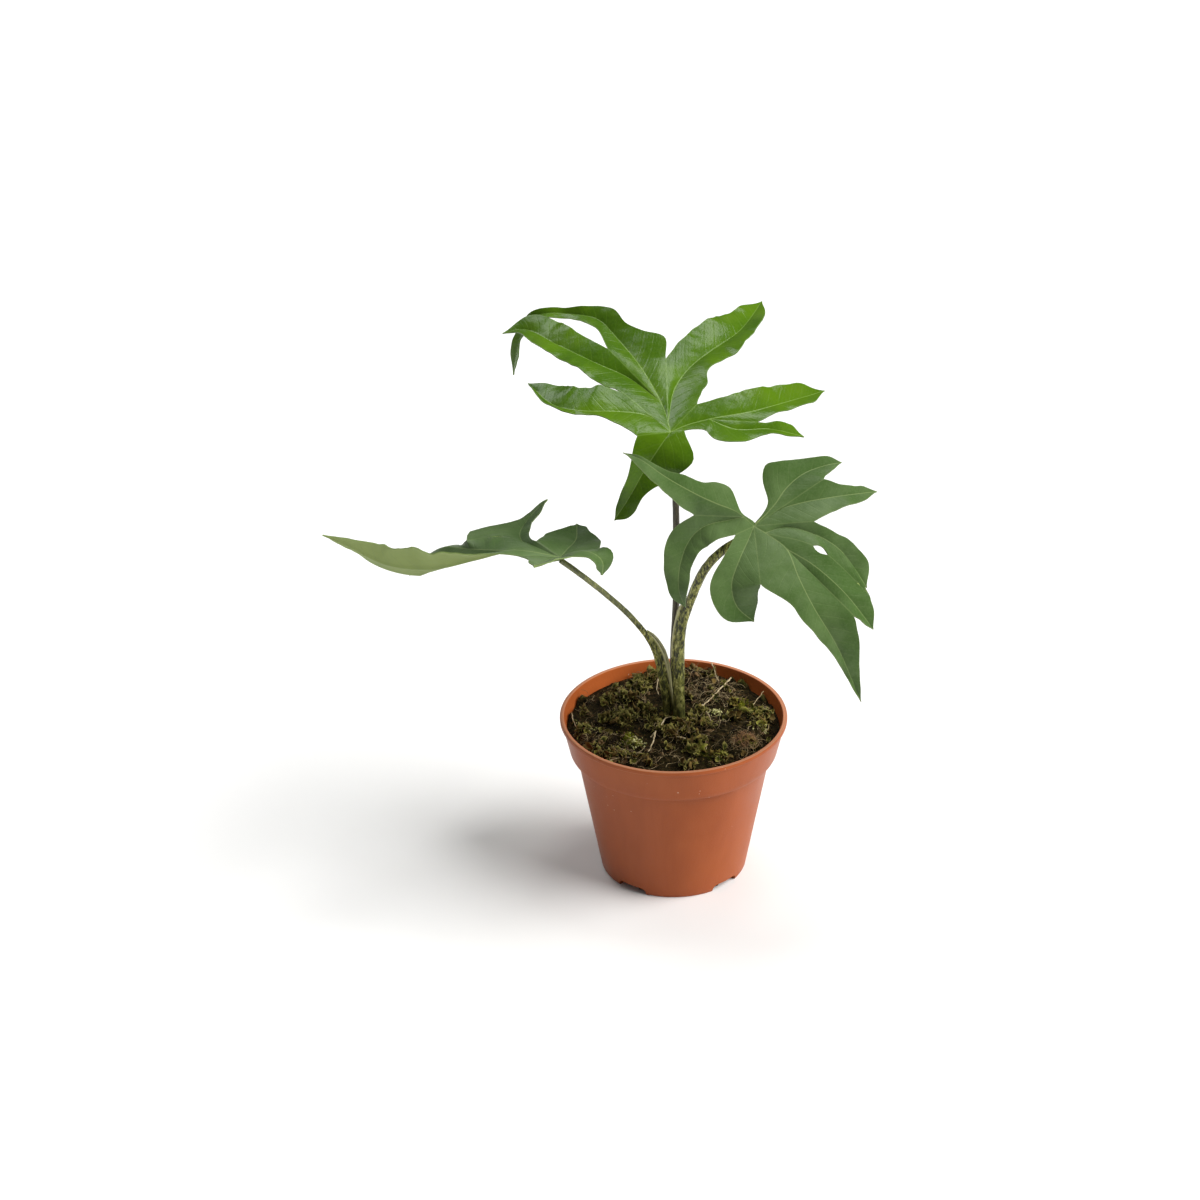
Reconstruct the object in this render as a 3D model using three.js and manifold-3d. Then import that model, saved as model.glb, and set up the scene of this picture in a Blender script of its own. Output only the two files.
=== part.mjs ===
// A potted alocasia brancifolia: three deeply lobed leaves on mottled stalks, in a plastic nursery pot of mossy soil.
// Millimetres, +Z up. The origin is on the ground at the pot's axis, and the leaves' viewer stands on the -Y side.

import * as THREE from 'three';
import { mergeVertices } from 'three/addons/utils/BufferGeometryUtils.js';
import Module from 'manifold-3d';

// Pot
const RIM_RADIUS = 60;
const POT_HEIGHT = 90;
const WALL = 1.2;
const LIP_HEIGHT = 2.5;
const LIP_OVERHANG = 1.2;
const COLLAR_BOTTOM = 70;
const COLLAR_BOTTOM_RADIUS = 55;
const BODY_TOP_RADIUS = 51.6;
const FOOT_RADIUS = 38.6;
const POT_SIDES = 72;

// Drain channels under the pot, from an arch in the foot to near its centre
const CHANNEL_DIRECTIONS = [-45, 55, 135, 235];
const CHANNEL_WIDTH = 17;
const CHANNEL_HEIGHT = 3.8;
const CHANNEL_START = 18;
const DRAIN_RADIUS = 3;
const DRAIN_DISTANCE = 27;

// Soil
const SOIL_GAP = 0.3;
const SOIL_EDGE = 82.5;
const SOIL_MOUND = 2.5;
const SOIL_HEAP = { x: 8, y: 48, height: 4, spread: 20 };
const SOIL_LUMPS = 90;
const SOIL_SEED = 7;

// Crown of the plant: the short stem below the surface and the hole that it fills
const CROWN_X = 0.5;
const CROWN_Y = 3.5;
const CROWN_HOLE_RADIUS = 8.4;
const RHIZOME_RADIUS = 6.5;
const RHIZOME_BOTTOM = 49;
const RHIZOME_TOP = 77;

// Leaf blades
const BLADE_THICKNESS = 0.8;
const ROW_STEP = 7;
const RIB_HALF_WIDTH = 1.3;
const RIB_DEPTH = 1.2;
const BLADE_ARCH = 0.05;

const vec = ([x, y, z]) => new THREE.Vector3(x, y, z);
const radians = THREE.MathUtils.degToRad;

const wasm = await Module();
wasm.setup();

// Repeatable random numbers between 0 and 1
function seeded(seed) {
  let state = seed;
  return () => {
    state = (state + 0x6d2b79f5) | 0;
    let t = Math.imul(state ^ (state >>> 15), 1 | state);
    t = (t + Math.imul(t ^ (t >>> 7), 61 | t)) ^ t;
    return ((t ^ (t >>> 14)) >>> 0) / 4294967296;
  };
}

function toSolid(geometry) {
  const bare = geometry.index ? geometry.toNonIndexed() : geometry.clone();
  bare.deleteAttribute('normal');
  bare.deleteAttribute('uv');
  const merged = mergeVertices(bare, 1e-4);
  return new wasm.Manifold(new wasm.Mesh({
    numProp: 3,
    vertProperties: Float32Array.from(merged.attributes.position.array),
    triVerts: Uint32Array.from(merged.index.array),
  }));
}

function toGeometry(solid) {
  const mesh = solid.getMesh();
  const geometry = new THREE.BufferGeometry();
  geometry.setAttribute('position', new THREE.BufferAttribute(Float32Array.from(mesh.vertProperties), 3));
  geometry.setIndex(Array.from(mesh.triVerts));
  return geometry;
}

function indexed(points, triangles) {
  const geometry = new THREE.BufferGeometry();
  geometry.setAttribute('position', new THREE.Float32BufferAttribute(points.flatMap((p) => [p.x, p.y, p.z]), 3));
  geometry.setIndex(triangles.flat());
  return geometry;
}

// A turned solid about +Z from a closed profile of [radius, height] pairs that starts and ends on the axis
function turned(profile, sides) {
  const lathe = new THREE.LatheGeometry(profile.map(([r, z]) => new THREE.Vector2(r, z)), sides);
  return toSolid(lathe.rotateX(Math.PI / 2));
}

function cylinder(radius, bottom, top, sides) {
  return turned([[0, bottom], [radius, bottom], [radius, top], [0, top]], sides);
}

// Pot

const bodyRadius = (z) => THREE.MathUtils.mapLinear(z, 0, COLLAR_BOTTOM, FOOT_RADIUS, BODY_TOP_RADIUS);
const collarTop = POT_HEIGHT - LIP_HEIGHT;
const collarTopRadius = RIM_RADIUS - LIP_OVERHANG;

// A low arch running outwards along +X from `start`, `width` wide and `height` high, standing on z = 0
function radialArch(start, length, width, height) {
  const half = width / 2;
  const arch = new THREE.Shape();
  arch.moveTo(-half, -1);
  arch.lineTo(half, -1);
  arch.lineTo(half, height * 0.35);
  arch.bezierCurveTo(half * 0.95, height * 0.9, half * 0.8, height, half * 0.55, height);
  arch.lineTo(-half * 0.55, height);
  arch.bezierCurveTo(-half * 0.8, height, -half * 0.95, height * 0.9, -half, height * 0.35);
  const bar = new THREE.ExtrudeGeometry(arch, { depth: length, bevelEnabled: false, curveSegments: 4 });
  return toSolid(bar.rotateX(Math.PI / 2).rotateZ(Math.PI / 2).translate(start, 0, 0));
}

function aroundPot(solid) {
  return CHANNEL_DIRECTIONS.map((degrees) => solid.rotate([0, 0, degrees - 90]));
}

const channels = aroundPot(radialArch(CHANNEL_START, RIM_RADIUS, CHANNEL_WIDTH, CHANNEL_HEIGHT));
const channelRoofs = (margin) => aroundPot(radialArch(
  CHANNEL_START - WALL - margin,
  RIM_RADIUS,
  CHANNEL_WIDTH + 2 * (WALL + margin),
  CHANNEL_HEIGHT + WALL + margin,
));

function makePot() {
  const outside = turned([
    [0, 0], [FOOT_RADIUS - 0.8, 0], [FOOT_RADIUS, 0.8], [bodyRadius(COLLAR_BOTTOM - 1), COLLAR_BOTTOM - 1],
    [COLLAR_BOTTOM_RADIUS - 1, COLLAR_BOTTOM], [COLLAR_BOTTOM_RADIUS, COLLAR_BOTTOM + 1],
    [collarTopRadius, collarTop], [RIM_RADIUS - 0.4, collarTop], [RIM_RADIUS, collarTop + 0.5],
    [RIM_RADIUS, POT_HEIGHT - 0.6], [RIM_RADIUS - 0.5, POT_HEIGHT], [0, POT_HEIGHT],
  ], POT_SIDES);
  let cavity = turned([
    [0, WALL], [bodyRadius(WALL) - WALL, WALL], [bodyRadius(COLLAR_BOTTOM) - WALL, COLLAR_BOTTOM],
    [COLLAR_BOTTOM_RADIUS - WALL, COLLAR_BOTTOM + 2], [collarTopRadius - WALL, collarTop],
    [collarTopRadius - WALL, POT_HEIGHT - 0.4], [collarTopRadius - WALL + 0.4, POT_HEIGHT + 0.1], [0, POT_HEIGHT + 0.1],
  ], POT_SIDES);
  for (const roof of channelRoofs(0)) cavity = cavity.subtract(roof);
  let pot = outside.subtract(cavity);
  for (const channel of channels) pot = pot.subtract(channel);
  const drain = cylinder(DRAIN_RADIUS, 1, CHANNEL_HEIGHT + 3 * WALL, 16).translate([DRAIN_DISTANCE, 0, 0]);
  for (const hole of aroundPot(drain)) pot = pot.subtract(hole);
  return toGeometry(pot);
}

// Soil

const cavityRadius = (z) => (z <= COLLAR_BOTTOM
  ? bodyRadius(z) - WALL
  : THREE.MathUtils.mapLinear(z, COLLAR_BOTTOM + 2, collarTop, COLLAR_BOTTOM_RADIUS - WALL, collarTopRadius - WALL));

function makeSoil() {
  const random = seeded(SOIL_SEED);
  const rimOfSoil = cavityRadius(SOIL_EDGE - 5) - SOIL_GAP;
  const lumps = [SOIL_HEAP, ...Array.from({ length: SOIL_LUMPS }, () => {
    const distance = rimOfSoil * Math.sqrt(random());
    const angle = 2 * Math.PI * random();
    return {
      x: distance * Math.cos(angle), y: distance * Math.sin(angle),
      spread: 2.5 + 3.5 * random(), height: 4 * random() - 1.2,
    };
  })];
  const surface = (x, y) => {
    const out = Math.hypot(x, y) / rimOfSoil;
    let z = SOIL_EDGE + SOIL_MOUND * (1 - out * out);
    for (const { x: lx, y: ly, spread, height } of lumps) {
      z += height * Math.exp(-((x - lx) ** 2 + (y - ly) ** 2) / (spread * spread));
    }
    return z;
  };
  const rings = 15;
  const sectors = 48;
  const floor = WALL;
  const wall = [[rimOfSoil, null]];
  for (const z of [COLLAR_BOTTOM + 2, COLLAR_BOTTOM, floor]) wall.push([cavityRadius(z) - SOIL_GAP, z + SOIL_GAP]);
  const points = [new THREE.Vector3(0, 0, surface(0, 0))];
  const ring = (radius, height) => {
    for (let s = 0; s < sectors; s += 1) {
      const angle = (2 * Math.PI * s) / sectors;
      const x = radius * Math.cos(angle);
      const y = radius * Math.sin(angle);
      points.push(new THREE.Vector3(x, y, height ?? surface(x, y)));
    }
  };
  for (let r = 1; r < rings; r += 1) ring((rimOfSoil * r) / rings, null);
  for (const [radius, height] of wall) ring(radius, height);
  points.push(new THREE.Vector3(0, 0, floor + SOIL_GAP));
  const last = points.length - 1;
  const ringCount = (last - 1) / sectors;
  const at = (r, s) => 1 + r * sectors + (s % sectors);
  const triangles = [];
  for (let s = 0; s < sectors; s += 1) {
    triangles.push([0, at(0, s), at(0, s + 1)]);
    for (let r = 0; r < ringCount - 1; r += 1) {
      triangles.push([at(r, s), at(r + 1, s), at(r + 1, s + 1)], [at(r, s), at(r + 1, s + 1), at(r, s + 1)]);
    }
    triangles.push([last, at(ringCount - 1, s + 1), at(ringCount - 1, s)]);
  }
  let soil = toSolid(indexed(points, triangles));
  for (const roof of channelRoofs(SOIL_GAP)) soil = soil.subtract(roof);
  const hole = cylinder(CROWN_HOLE_RADIUS, RHIZOME_BOTTOM - SOIL_GAP, POT_HEIGHT, 32).translate([CROWN_X, CROWN_Y, 0]);
  return toGeometry(soil.subtract(hole));
}

// Rhizome: a stubby ringed stem, flat on top where the stalks stand

function makeRhizome() {
  const profile = [[0, RHIZOME_BOTTOM], [RHIZOME_RADIUS * 0.55, RHIZOME_BOTTOM]];
  const nodes = 4;
  const step = (RHIZOME_TOP - RHIZOME_BOTTOM - 2) / nodes;
  for (let n = 0; n < nodes; n += 1) {
    const z = RHIZOME_BOTTOM + 2 + n * step;
    profile.push([RHIZOME_RADIUS, z], [RHIZOME_RADIUS - 0.8, z + step * 0.7]);
  }
  profile.push([RHIZOME_RADIUS + 1.2, RHIZOME_TOP - 1], [RHIZOME_RADIUS + 1.2, RHIZOME_TOP], [0, RHIZOME_TOP]);
  return toGeometry(turned(profile, 24).translate([CROWN_X, CROWN_Y, 0]));
}

// Stalks

// A fleshy stalk along `route`. At even steps it is `widths` wide and `depths` deep, hollowed by `grooves` on the side
// that faces `inner`. The `sheath` is a thin wing on that side, raised by `rises` mm at even steps between two places.
function makeStalk({ route, widths, depths, grooves, inner, sheath }) {
  const sides = 14;
  const rings = 26;
  const curve = new THREE.CatmullRomCurve3(route.map(vec), false, 'centripetal');
  const along = (list, t) => {
    const place = t * (list.length - 1);
    const low = Math.min(Math.floor(place), list.length - 2);
    return THREE.MathUtils.lerp(list[low], list[low + 1], place - low);
  };
  const wing = (t) => (sheath && t >= sheath.from && t <= sheath.to ? along(sheath.rises, (t - sheath.from) / (sheath.to - sheath.from)) : 0);
  const points = [];
  for (let r = 0; r <= rings; r += 1) {
    const t = r / rings;
    const centre = curve.getPointAt(t);
    const tangent = curve.getTangentAt(t);
    const toInner = vec(inner).projectOnPlane(tangent).normalize();
    const across = new THREE.Vector3().crossVectors(toInner, tangent);
    for (let s = 0; s < sides; s += 1) {
      const angle = (2 * Math.PI * s) / sides;
      const facingIn = Math.max(0, Math.cos(angle));
      const inwards = wing(t) * facingIn ** 16 - along(grooves, t) * facingIn ** 4;
      const depth = (along(depths, t) / 2) * Math.cos(angle) + inwards;
      points.push(centre.clone().addScaledVector(toInner, depth).addScaledVector(across, (along(widths, t) / 2) * Math.sin(angle)));
    }
  }
  points.push(curve.getPointAt(0), curve.getPointAt(1));
  const [start, end] = [points.length - 2, points.length - 1];
  const at = (r, s) => r * sides + (s % sides);
  const triangles = [];
  for (let s = 0; s < sides; s += 1) {
    triangles.push([start, at(0, s), at(0, s + 1)], [end, at(rings, s + 1), at(rings, s)]);
    for (let r = 0; r < rings; r += 1) {
      triangles.push([at(r, s), at(r + 1, s), at(r + 1, s + 1)], [at(r, s), at(r + 1, s + 1), at(r, s + 1)]);
    }
  }
  return outwards(indexed(points, triangles));
}

// The same closed surface with its faces pointing out
function outwards(geometry) {
  const position = geometry.attributes.position;
  const index = geometry.index.array;
  const [a, b, c] = [new THREE.Vector3(), new THREE.Vector3(), new THREE.Vector3()];
  let volume = 0;
  for (let i = 0; i < index.length; i += 3) {
    a.fromBufferAttribute(position, index[i]);
    b.fromBufferAttribute(position, index[i + 1]);
    c.fromBufferAttribute(position, index[i + 2]);
    volume += a.dot(b.cross(c));
  }
  if (volume < 0) {
    for (let i = 0; i < index.length; i += 3) [index[i], index[i + 1]] = [index[i + 1], index[i]];
  }
  return geometry;
}

// Leaf blades

// A blade is a ring of lobes round its attachment, in counter-clockwise order seen from above. A lobe has a rib, which
// starts at the attachment or `branch` mm along another lobe's, and the blade's facing along it. Its edges run from the
// sinus on each side to the tip, at `left` and `right` mm from the rib at even steps, raised from the facing plane by
// `lift` degrees. A sinus follows its lobe. The web that reaches it runs `through` a point, and `gap` is a hole in it.

function traceRibs(leaf, points, facings, distances) {
  const paths = new Map();
  points.push(vec(leaf.attach));
  facings.push(vec(leaf.facing).normalize());
  distances.push(0);
  const trace = (lobe) => {
    if (paths.has(lobe.name)) return paths.get(lobe.name);
    const parent = lobe.from ? trace(leaf.lobes.find(({ name }) => name === lobe.from)) : [0];
    const path = parent.slice(0, 1 + Math.round((lobe.branch ?? 0) / ROW_STEP));
    const start = path[path.length - 1];
    const curve = new THREE.CatmullRomCurve3([points[start], ...lobe.rib.map(vec)], false, 'centripetal');
    const rows = Math.max(2, Math.round(curve.getLength() / ROW_STEP));
    const facing = [facings[start], ...lobe.facing.map((f) => vec(f).normalize())];
    for (let row = 1; row <= rows; row += 1) {
      const place = (row / rows) * (facing.length - 1);
      const low = Math.min(Math.floor(place), facing.length - 2);
      path.push(points.length);
      points.push(curve.getPointAt(row / rows));
      facings.push(facing[low].clone().lerp(facing[low + 1], place - low).normalize());
      distances.push(distances[start] + (row / rows) * curve.getLength());
    }
    paths.set(lobe.name, path);
    return path;
  };
  return leaf.lobes.map(trace);
}

// The margin's height over `t` from the sinus to the tip, through evenly spaced widths
function edgeCurve(first, widths) {
  const values = [first, ...widths, 0];
  return new THREE.SplineCurve(values.map((w, i) => new THREE.Vector2(i / (values.length - 1), w)));
}

function frameAt(points, facings, path, row) {
  const before = points[path[Math.max(0, row - 1)]];
  const after = points[path[Math.min(path.length - 1, row + 1)]];
  const along = after.clone().sub(before).normalize();
  const facing = facings[path[row]].clone().projectOnPlane(along).normalize();
  return { along, facing, left: facing.clone().cross(along) };
}

function makeBlade(leaf) {
  const points = [];
  const facings = [];
  const distances = [];
  const paths = traceRibs(leaf, points, facings, distances);
  const ribEnd = points.length;
  const { lobes } = leaf;
  const add = (point) => points.push(point) - 1;

  const webs = lobes.map((lobe, i) => {
    const path = paths[i];
    const next = paths[(i + 1) % lobes.length];
    let shared = 0;
    while (path[shared + 1] === next[shared + 1]) shared += 1;
    const start = points[path[shared]];
    const sinus = vec(lobe.sinus);
    const room = Math.min(path.length, next.length) - shared - 3;
    const rows = THREE.MathUtils.clamp(Math.round(start.distanceTo(sinus) / ROW_STEP), 1, room);
    const line = new THREE.CatmullRomCurve3(lobe.through ? [start, vec(lobe.through), sinus] : [start, sinus]);
    const sideways = facings[path[shared]].clone().cross(sinus.clone().sub(start)).normalize();
    const outer = { left: [path[shared]], right: [path[shared]] };
    for (let row = 1; row <= rows; row += 1) {
      const t = row / rows;
      const point = line.getPointAt(t);
      const spacing = Math.min(...[path, next].map((rib) => point.distanceTo(points[rib[shared + row]])));
      point.addScaledVector(facings[path[shared]], row < rows ? BLADE_ARCH * spacing : 0);
      const inGap = lobe.gap && t > lobe.gap.from && t < lobe.gap.to;
      const half = inGap ? lobe.gap.width / 2 : 0;
      const onRight = add(point.clone().addScaledVector(sideways, -half));
      outer.left.push(onRight);
      outer.right.push(inGap ? add(point.clone().addScaledVector(sideways, half)) : onRight);
    }
    return { shared, rows, outer };
  });

  const triangles = [];
  const addTriangle = (a, b, c, flip) => {
    if (a !== b && b !== c && c !== a) triangles.push(flip ? [a, c, b] : [a, b, c]);
  };
  lobes.forEach((lobe, i) => {
    for (const side of ['left', 'right']) {
      const sign = side === 'left' ? 1 : -1;
      const web = side === 'left' ? webs[i] : webs[(i + lobes.length - 1) % lobes.length];
      const path = paths[i];
      const last = path.length - 1 - web.shared;
      const inner = path.slice(web.shared);
      const outer = [...web.outer[side]];
      const sinusFrame = frameAt(points, facings, path, web.shared + web.rows);
      const reach = points[outer[web.rows]].clone().sub(points[inner[web.rows]]);
      const edge = edgeCurve(sign * reach.dot(sinusFrame.left), lobe[side]);
      const lift = Math.tan(radians(lobe.lift ?? 8));
      for (let row = web.rows + 1; row < last; row += 1) {
        const t = (row - web.rows) / (last - web.rows);
        const fade = (1 - t) ** 3;
        const frame = frameAt(points, facings, path, web.shared + row);
        const width = edge.getPoint(t).y;
        const wave = (lobe.wave ?? 0.8) * Math.sin(row * 1.9 + i) * t * (1 - t) * 4;
        const height = reach.dot(sinusFrame.facing) * fade + (1 - fade) * (lift * width + wave);
        outer.push(add(points[inner[row]].clone()
          .addScaledVector(frame.left, sign * width)
          .addScaledVector(frame.along, reach.dot(sinusFrame.along) * fade)
          .addScaledVector(frame.facing, height)));
      }
      outer.push(inner[last]);
      const columns = [];
      for (let row = 0; row <= last; row += 1) {
        const [rib, rim] = [points[inner[row]], points[outer[row]]];
        const span = rib.distanceTo(rim);
        if (span < 1e-6) {
          columns.push([inner[row], inner[row], inner[row], inner[row]]);
          continue;
        }
        const { facing } = frameAt(points, facings, path, web.shared + row);
        const near = Math.min(0.3, RIB_HALF_WIDTH / span);
        const between = (t) => add(rib.clone().lerp(rim, t).addScaledVector(facing, 4 * t * (1 - t) * BLADE_ARCH * span));
        columns.push([inner[row], between(near), between((near + 1) / 2), outer[row]]);
      }
      for (let row = 0; row < last; row += 1) {
        for (let column = 0; column < 3; column += 1) {
          const [a, b] = [columns[row][column], columns[row + 1][column]];
          const [c, d] = [columns[row + 1][column + 1], columns[row][column + 1]];
          if (points[a].distanceTo(points[c]) < points[b].distanceTo(points[d])) {
            addTriangle(a, b, c, side === 'right');
            addTriangle(a, c, d, side === 'right');
          } else {
            addTriangle(a, b, d, side === 'right');
            addTriangle(b, c, d, side === 'right');
          }
        }
      }
    }
  });
  const ribDepth = points.map((_, i) => (i < ribEnd ? RIB_DEPTH * Math.max(0.15, 1 - distances[i] / leaf.ribFade) : 0));
  return thicken(points, triangles, ribDepth);
}

// A closed solid on both sides of a surface, with `extra` added below each point
function thicken(points, triangles, extra) {
  const normals = points.map(() => new THREE.Vector3());
  const edges = new Map();
  for (const [a, b, c] of triangles) {
    const normal = points[b].clone().sub(points[a]).cross(points[c].clone().sub(points[a]));
    for (const corner of [a, b, c]) normals[corner].add(normal);
    for (const [from, to] of [[a, b], [b, c], [c, a]]) {
      if (!edges.delete(`${to} ${from}`)) edges.set(`${from} ${to}`, [from, to]);
    }
  }
  const used = new Map([...new Set(triangles.flat())].map((old, i) => [old, i]));
  const half = BLADE_THICKNESS / 2;
  const kept = [...used.keys()];
  const upper = kept.map((i) => points[i].clone().addScaledVector(normals[i].normalize(), half));
  const lower = kept.map((i) => points[i].clone().addScaledVector(normals[i], -half - extra[i]));
  const below = (i) => used.get(i) + kept.length;
  const faces = [];
  for (const [a, b, c] of triangles) {
    faces.push([used.get(a), used.get(b), used.get(c)], [below(a), below(c), below(b)]);
  }
  for (const [from, to] of edges.values()) {
    faces.push([below(from), below(to), used.get(to)], [below(from), used.get(to), used.get(from)]);
  }
  return indexed([...upper, ...lower], faces);
}

// The upper leaf, tilted a little towards the viewer, with its tip lobe arching over at the back
const LEAF_TOP = {
  attach: [-1.5, 12, 249.5],
  facing: [0, -0.34, 0.94],
  ribFade: 110,
  lobes: [
    {
      name: 'front right', from: 'tip', branch: 7,
      rib: [[0.5, 39.5, 260.5], [8, 53, 266.5], [19.5, 65, 271], [34, 81, 274.5], [47, 112, 277.5]],
      facing: [[-0.1, -0.4, 0.9], [0, -0.3, 0.95]],
      left: [15.2, 16, 14.6, 11.4, 6.8], right: [14.6, 15.2, 10.5, 10, 12.5, 9, 7.7, 7.4, 5], sinus: [-4, 57.5, 269.5],
    },
    {
      name: 'tip',
      rib: [[-5, 27.5, 255.5], [-16.5, 51.5, 267], [-29, 71.5, 274.2], [-40, 86, 279], [-57, 94, 278.5], [-72, 98, 275.5], [-80.5, 99, 264], [-83.5, 99, 252], [-85, 99, 240.5]],
      facing: [[0, -0.36, 0.93], [-0.2, -0.4, 0.9], [-0.45, -0.5, 0.75], [-0.9, -0.5, 0.4], [-0.95, -0.5, 0.1]],
      left: [6.5, 5.2, 5, 4.2, 3, 3, 3, 3, 3.5, 4, 3], right: [20, 12.8, 8.6, 9, 5.5, 3.4, 3.2, 3, 3.5, 4.5, 3.5], sinus: [-34, 63, 272.5],
    },
    {
      name: 'back left', from: 'tip', branch: 21,
      rib: [[-23, 47, 263.5], [-38.5, 55.5, 267.5], [-59.5, 70, 271.5], [-78, 88.5, 272], [-90, 92, 268]],
      facing: [[0, -0.36, 0.93], [-0.2, -0.3, 0.9]],
      left: [13.4, 12.3, 10, 7.8, 5.4], right: [10.3, 11.2, 11.2, 8.1], sinus: [-26.5, 35, 261],
    },
    {
      name: 'left',
      rib: [[-12.5, 21, 254], [-27.5, 22.5, 256.5], [-45.5, 22.5, 256.5], [-61, 30, 256], [-75.5, 50, 259]],
      facing: [[0, -0.36, 0.93], [-0.1, -0.3, 0.95]],
      left: [10.5, 3.4, 2.8, 2.4, 1.6], right: [16.7, 17.3, 15.8, 12.8, 7.5], sinus: [-18.5, 7, 250],
    },
    {
      name: 'near left',
      rib: [[-7.5, 6, 243.5], [-15, 3.5, 232], [-21.5, 2, 219.5], [-30.5, 1, 204.5]],
      facing: [[0.1, -0.75, 0.6], [0, -0.85, 0.45]],
      left: [17.4, 18.2, 15.4, 12.2, 8.7, 6, 6, 6.2, 4.8], right: [8, 5.8, 4.8, 3], sinus: [5.5, 12, 250.5],
    },
    {
      name: 'near right', from: 'right', branch: 21,
      rib: [[31, 14, 250.5], [49, 16.5, 249.2], [67, 20, 243]],
      facing: [[0.1, -0.4, 0.9]],
      left: [3.6, 5, 5], right: [6, 11, 11.5, 7, 3.6, 2.6], sinus: [42.5, 18.5, 252],
    },
    {
      name: 'right',
      rib: [[8, 16, 252], [23.5, 19.5, 254.5], [41, 25, 255.5], [60.5, 38, 255], [78.5, 52.5, 253.5]],
      facing: [[0.05, -0.36, 0.93], [0.2, -0.3, 0.9]],
      left: [11.4, 12.6, 12, 10.2, 7.5], right: [5.6, 6, 6], sinus: [12, 27, 258],
    },
  ],
};

// The right leaf, hanging towards the viewer and to the right
const LEAF_RIGHT = {
  attach: [41, -10, 207],
  facing: [0.08, -0.61, 0.79],
  ribFade: 110,
  lobes: [
    {
      name: 'far right',
      rib: [[52, -0.5, 215], [57.5, 6.5, 220], [66, 14.5, 224], [77.5, 21.5, 225.5], [87, 26.5, 225]],
      facing: [[0.08, -0.61, 0.79]],
      left: [1.5, 4, 11.2, 15.1, 12.2, 9, 6.4, 5.2, 4.2], right: [6, 3.6], sinus: [41.5, -8.5, 208],
    },
    {
      name: 'far left',
      rib: [[32.5, -9.5, 215], [22, -11, 220.5], [10.5, -13, 227.5], [-4.5, -14, 237.5], [-17.5, -13, 247], [-25.5, -12, 250]],
      facing: [[0.08, -0.61, 0.79], [0, -0.6, 0.8]],
      left: [8.6, 7.1, 6, 3.6], right: [0.8, 10.8, 10.6, 7.4, 6.5, 4.6, 3, 2.1, 1.4], sinus: [10.5, -14, 215.5],
    },
    {
      name: 'left', from: 'far left', branch: 7,
      rib: [[28.5, -10.5, 211], [15.5, -14, 209], [8, -17, 202.5], [3, -23.5, 190], [3, -29.5, 179.5], [6.3, -31.5, 171.4]],
      facing: [[0.0, -0.7, 0.7], [-0.4, -0.8, 0.4]],
      left: [9.5, 9.3, 7, 6.1, 5.2], right: [9.4, 9.4, 8.2, 6, 4.5], sinus: [31.5, -16.5, 205.5],
    },
    {
      name: 'near left',
      rib: [[38.5, -15.5, 203], [33.5, -25.5, 196], [29.5, -34, 186], [32, -38, 176], [41, -38.5, 167]],
      facing: [[0.05, -0.7, 0.7], [0, -0.85, 0.5]],
      left: [13, 12, 8], right: [8, 11, 9], sinus: [44, -38, 188.5],
    },
    {
      name: 'tip',
      rib: [[51, -16, 203], [57.5, -21, 199.5], [63.5, -34, 190], [71, -44.5, 178.5], [82.5, -51, 160.5], [95.5, -58, 131]],
      facing: [[0.08, -0.65, 0.75], [0.1, -0.85, 0.5]],
      left: [12.6, 10.2, 7.2, 4.6, 2.4], right: [14, 9.7, 9.2, 7.2, 6, 4.2, 3, 2, 1.2], sinus: [91, -45, 174.5],
    },
    {
      name: 'near right', from: 'tip', branch: 21,
      rib: [[71, -27.5, 194], [86.5, -36.5, 183], [101.5, -43, 165]],
      facing: [[0.2, -0.6, 0.7]],
      left: [9.4, 8, 6], right: [3.4, 2.4], sinus: [99.5, -31, 178.5], through: [73, -20.5, 200], gap: { from: 0.4, to: 0.53, width: 3.6 },
    },
    {
      name: 'side right', from: 'tip', branch: 7,
      rib: [[56.5, -10, 206.5], [71.5, -13, 204], [85, -18.5, 197.5], [98.5, -28, 181]],
      facing: [[0.3, -0.6, 0.7]],
      left: [5.5, 6.9, 7.4, 7.5], right: [4], sinus: [71.5, -9.5, 209.5],
    },
    {
      name: 'right',
      rib: [[50, -3.5, 211.5], [64, 0.5, 214.5], [82, 5, 216], [105, 16, 213.5]],
      facing: [[0.08, -0.61, 0.79], [0.2, -0.5, 0.8]],
      left: [6.2, 5, 4], right: [10, 8, 6.1, 4], sinus: [77, 10.5, 223.5],
    },
  ],
};

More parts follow.
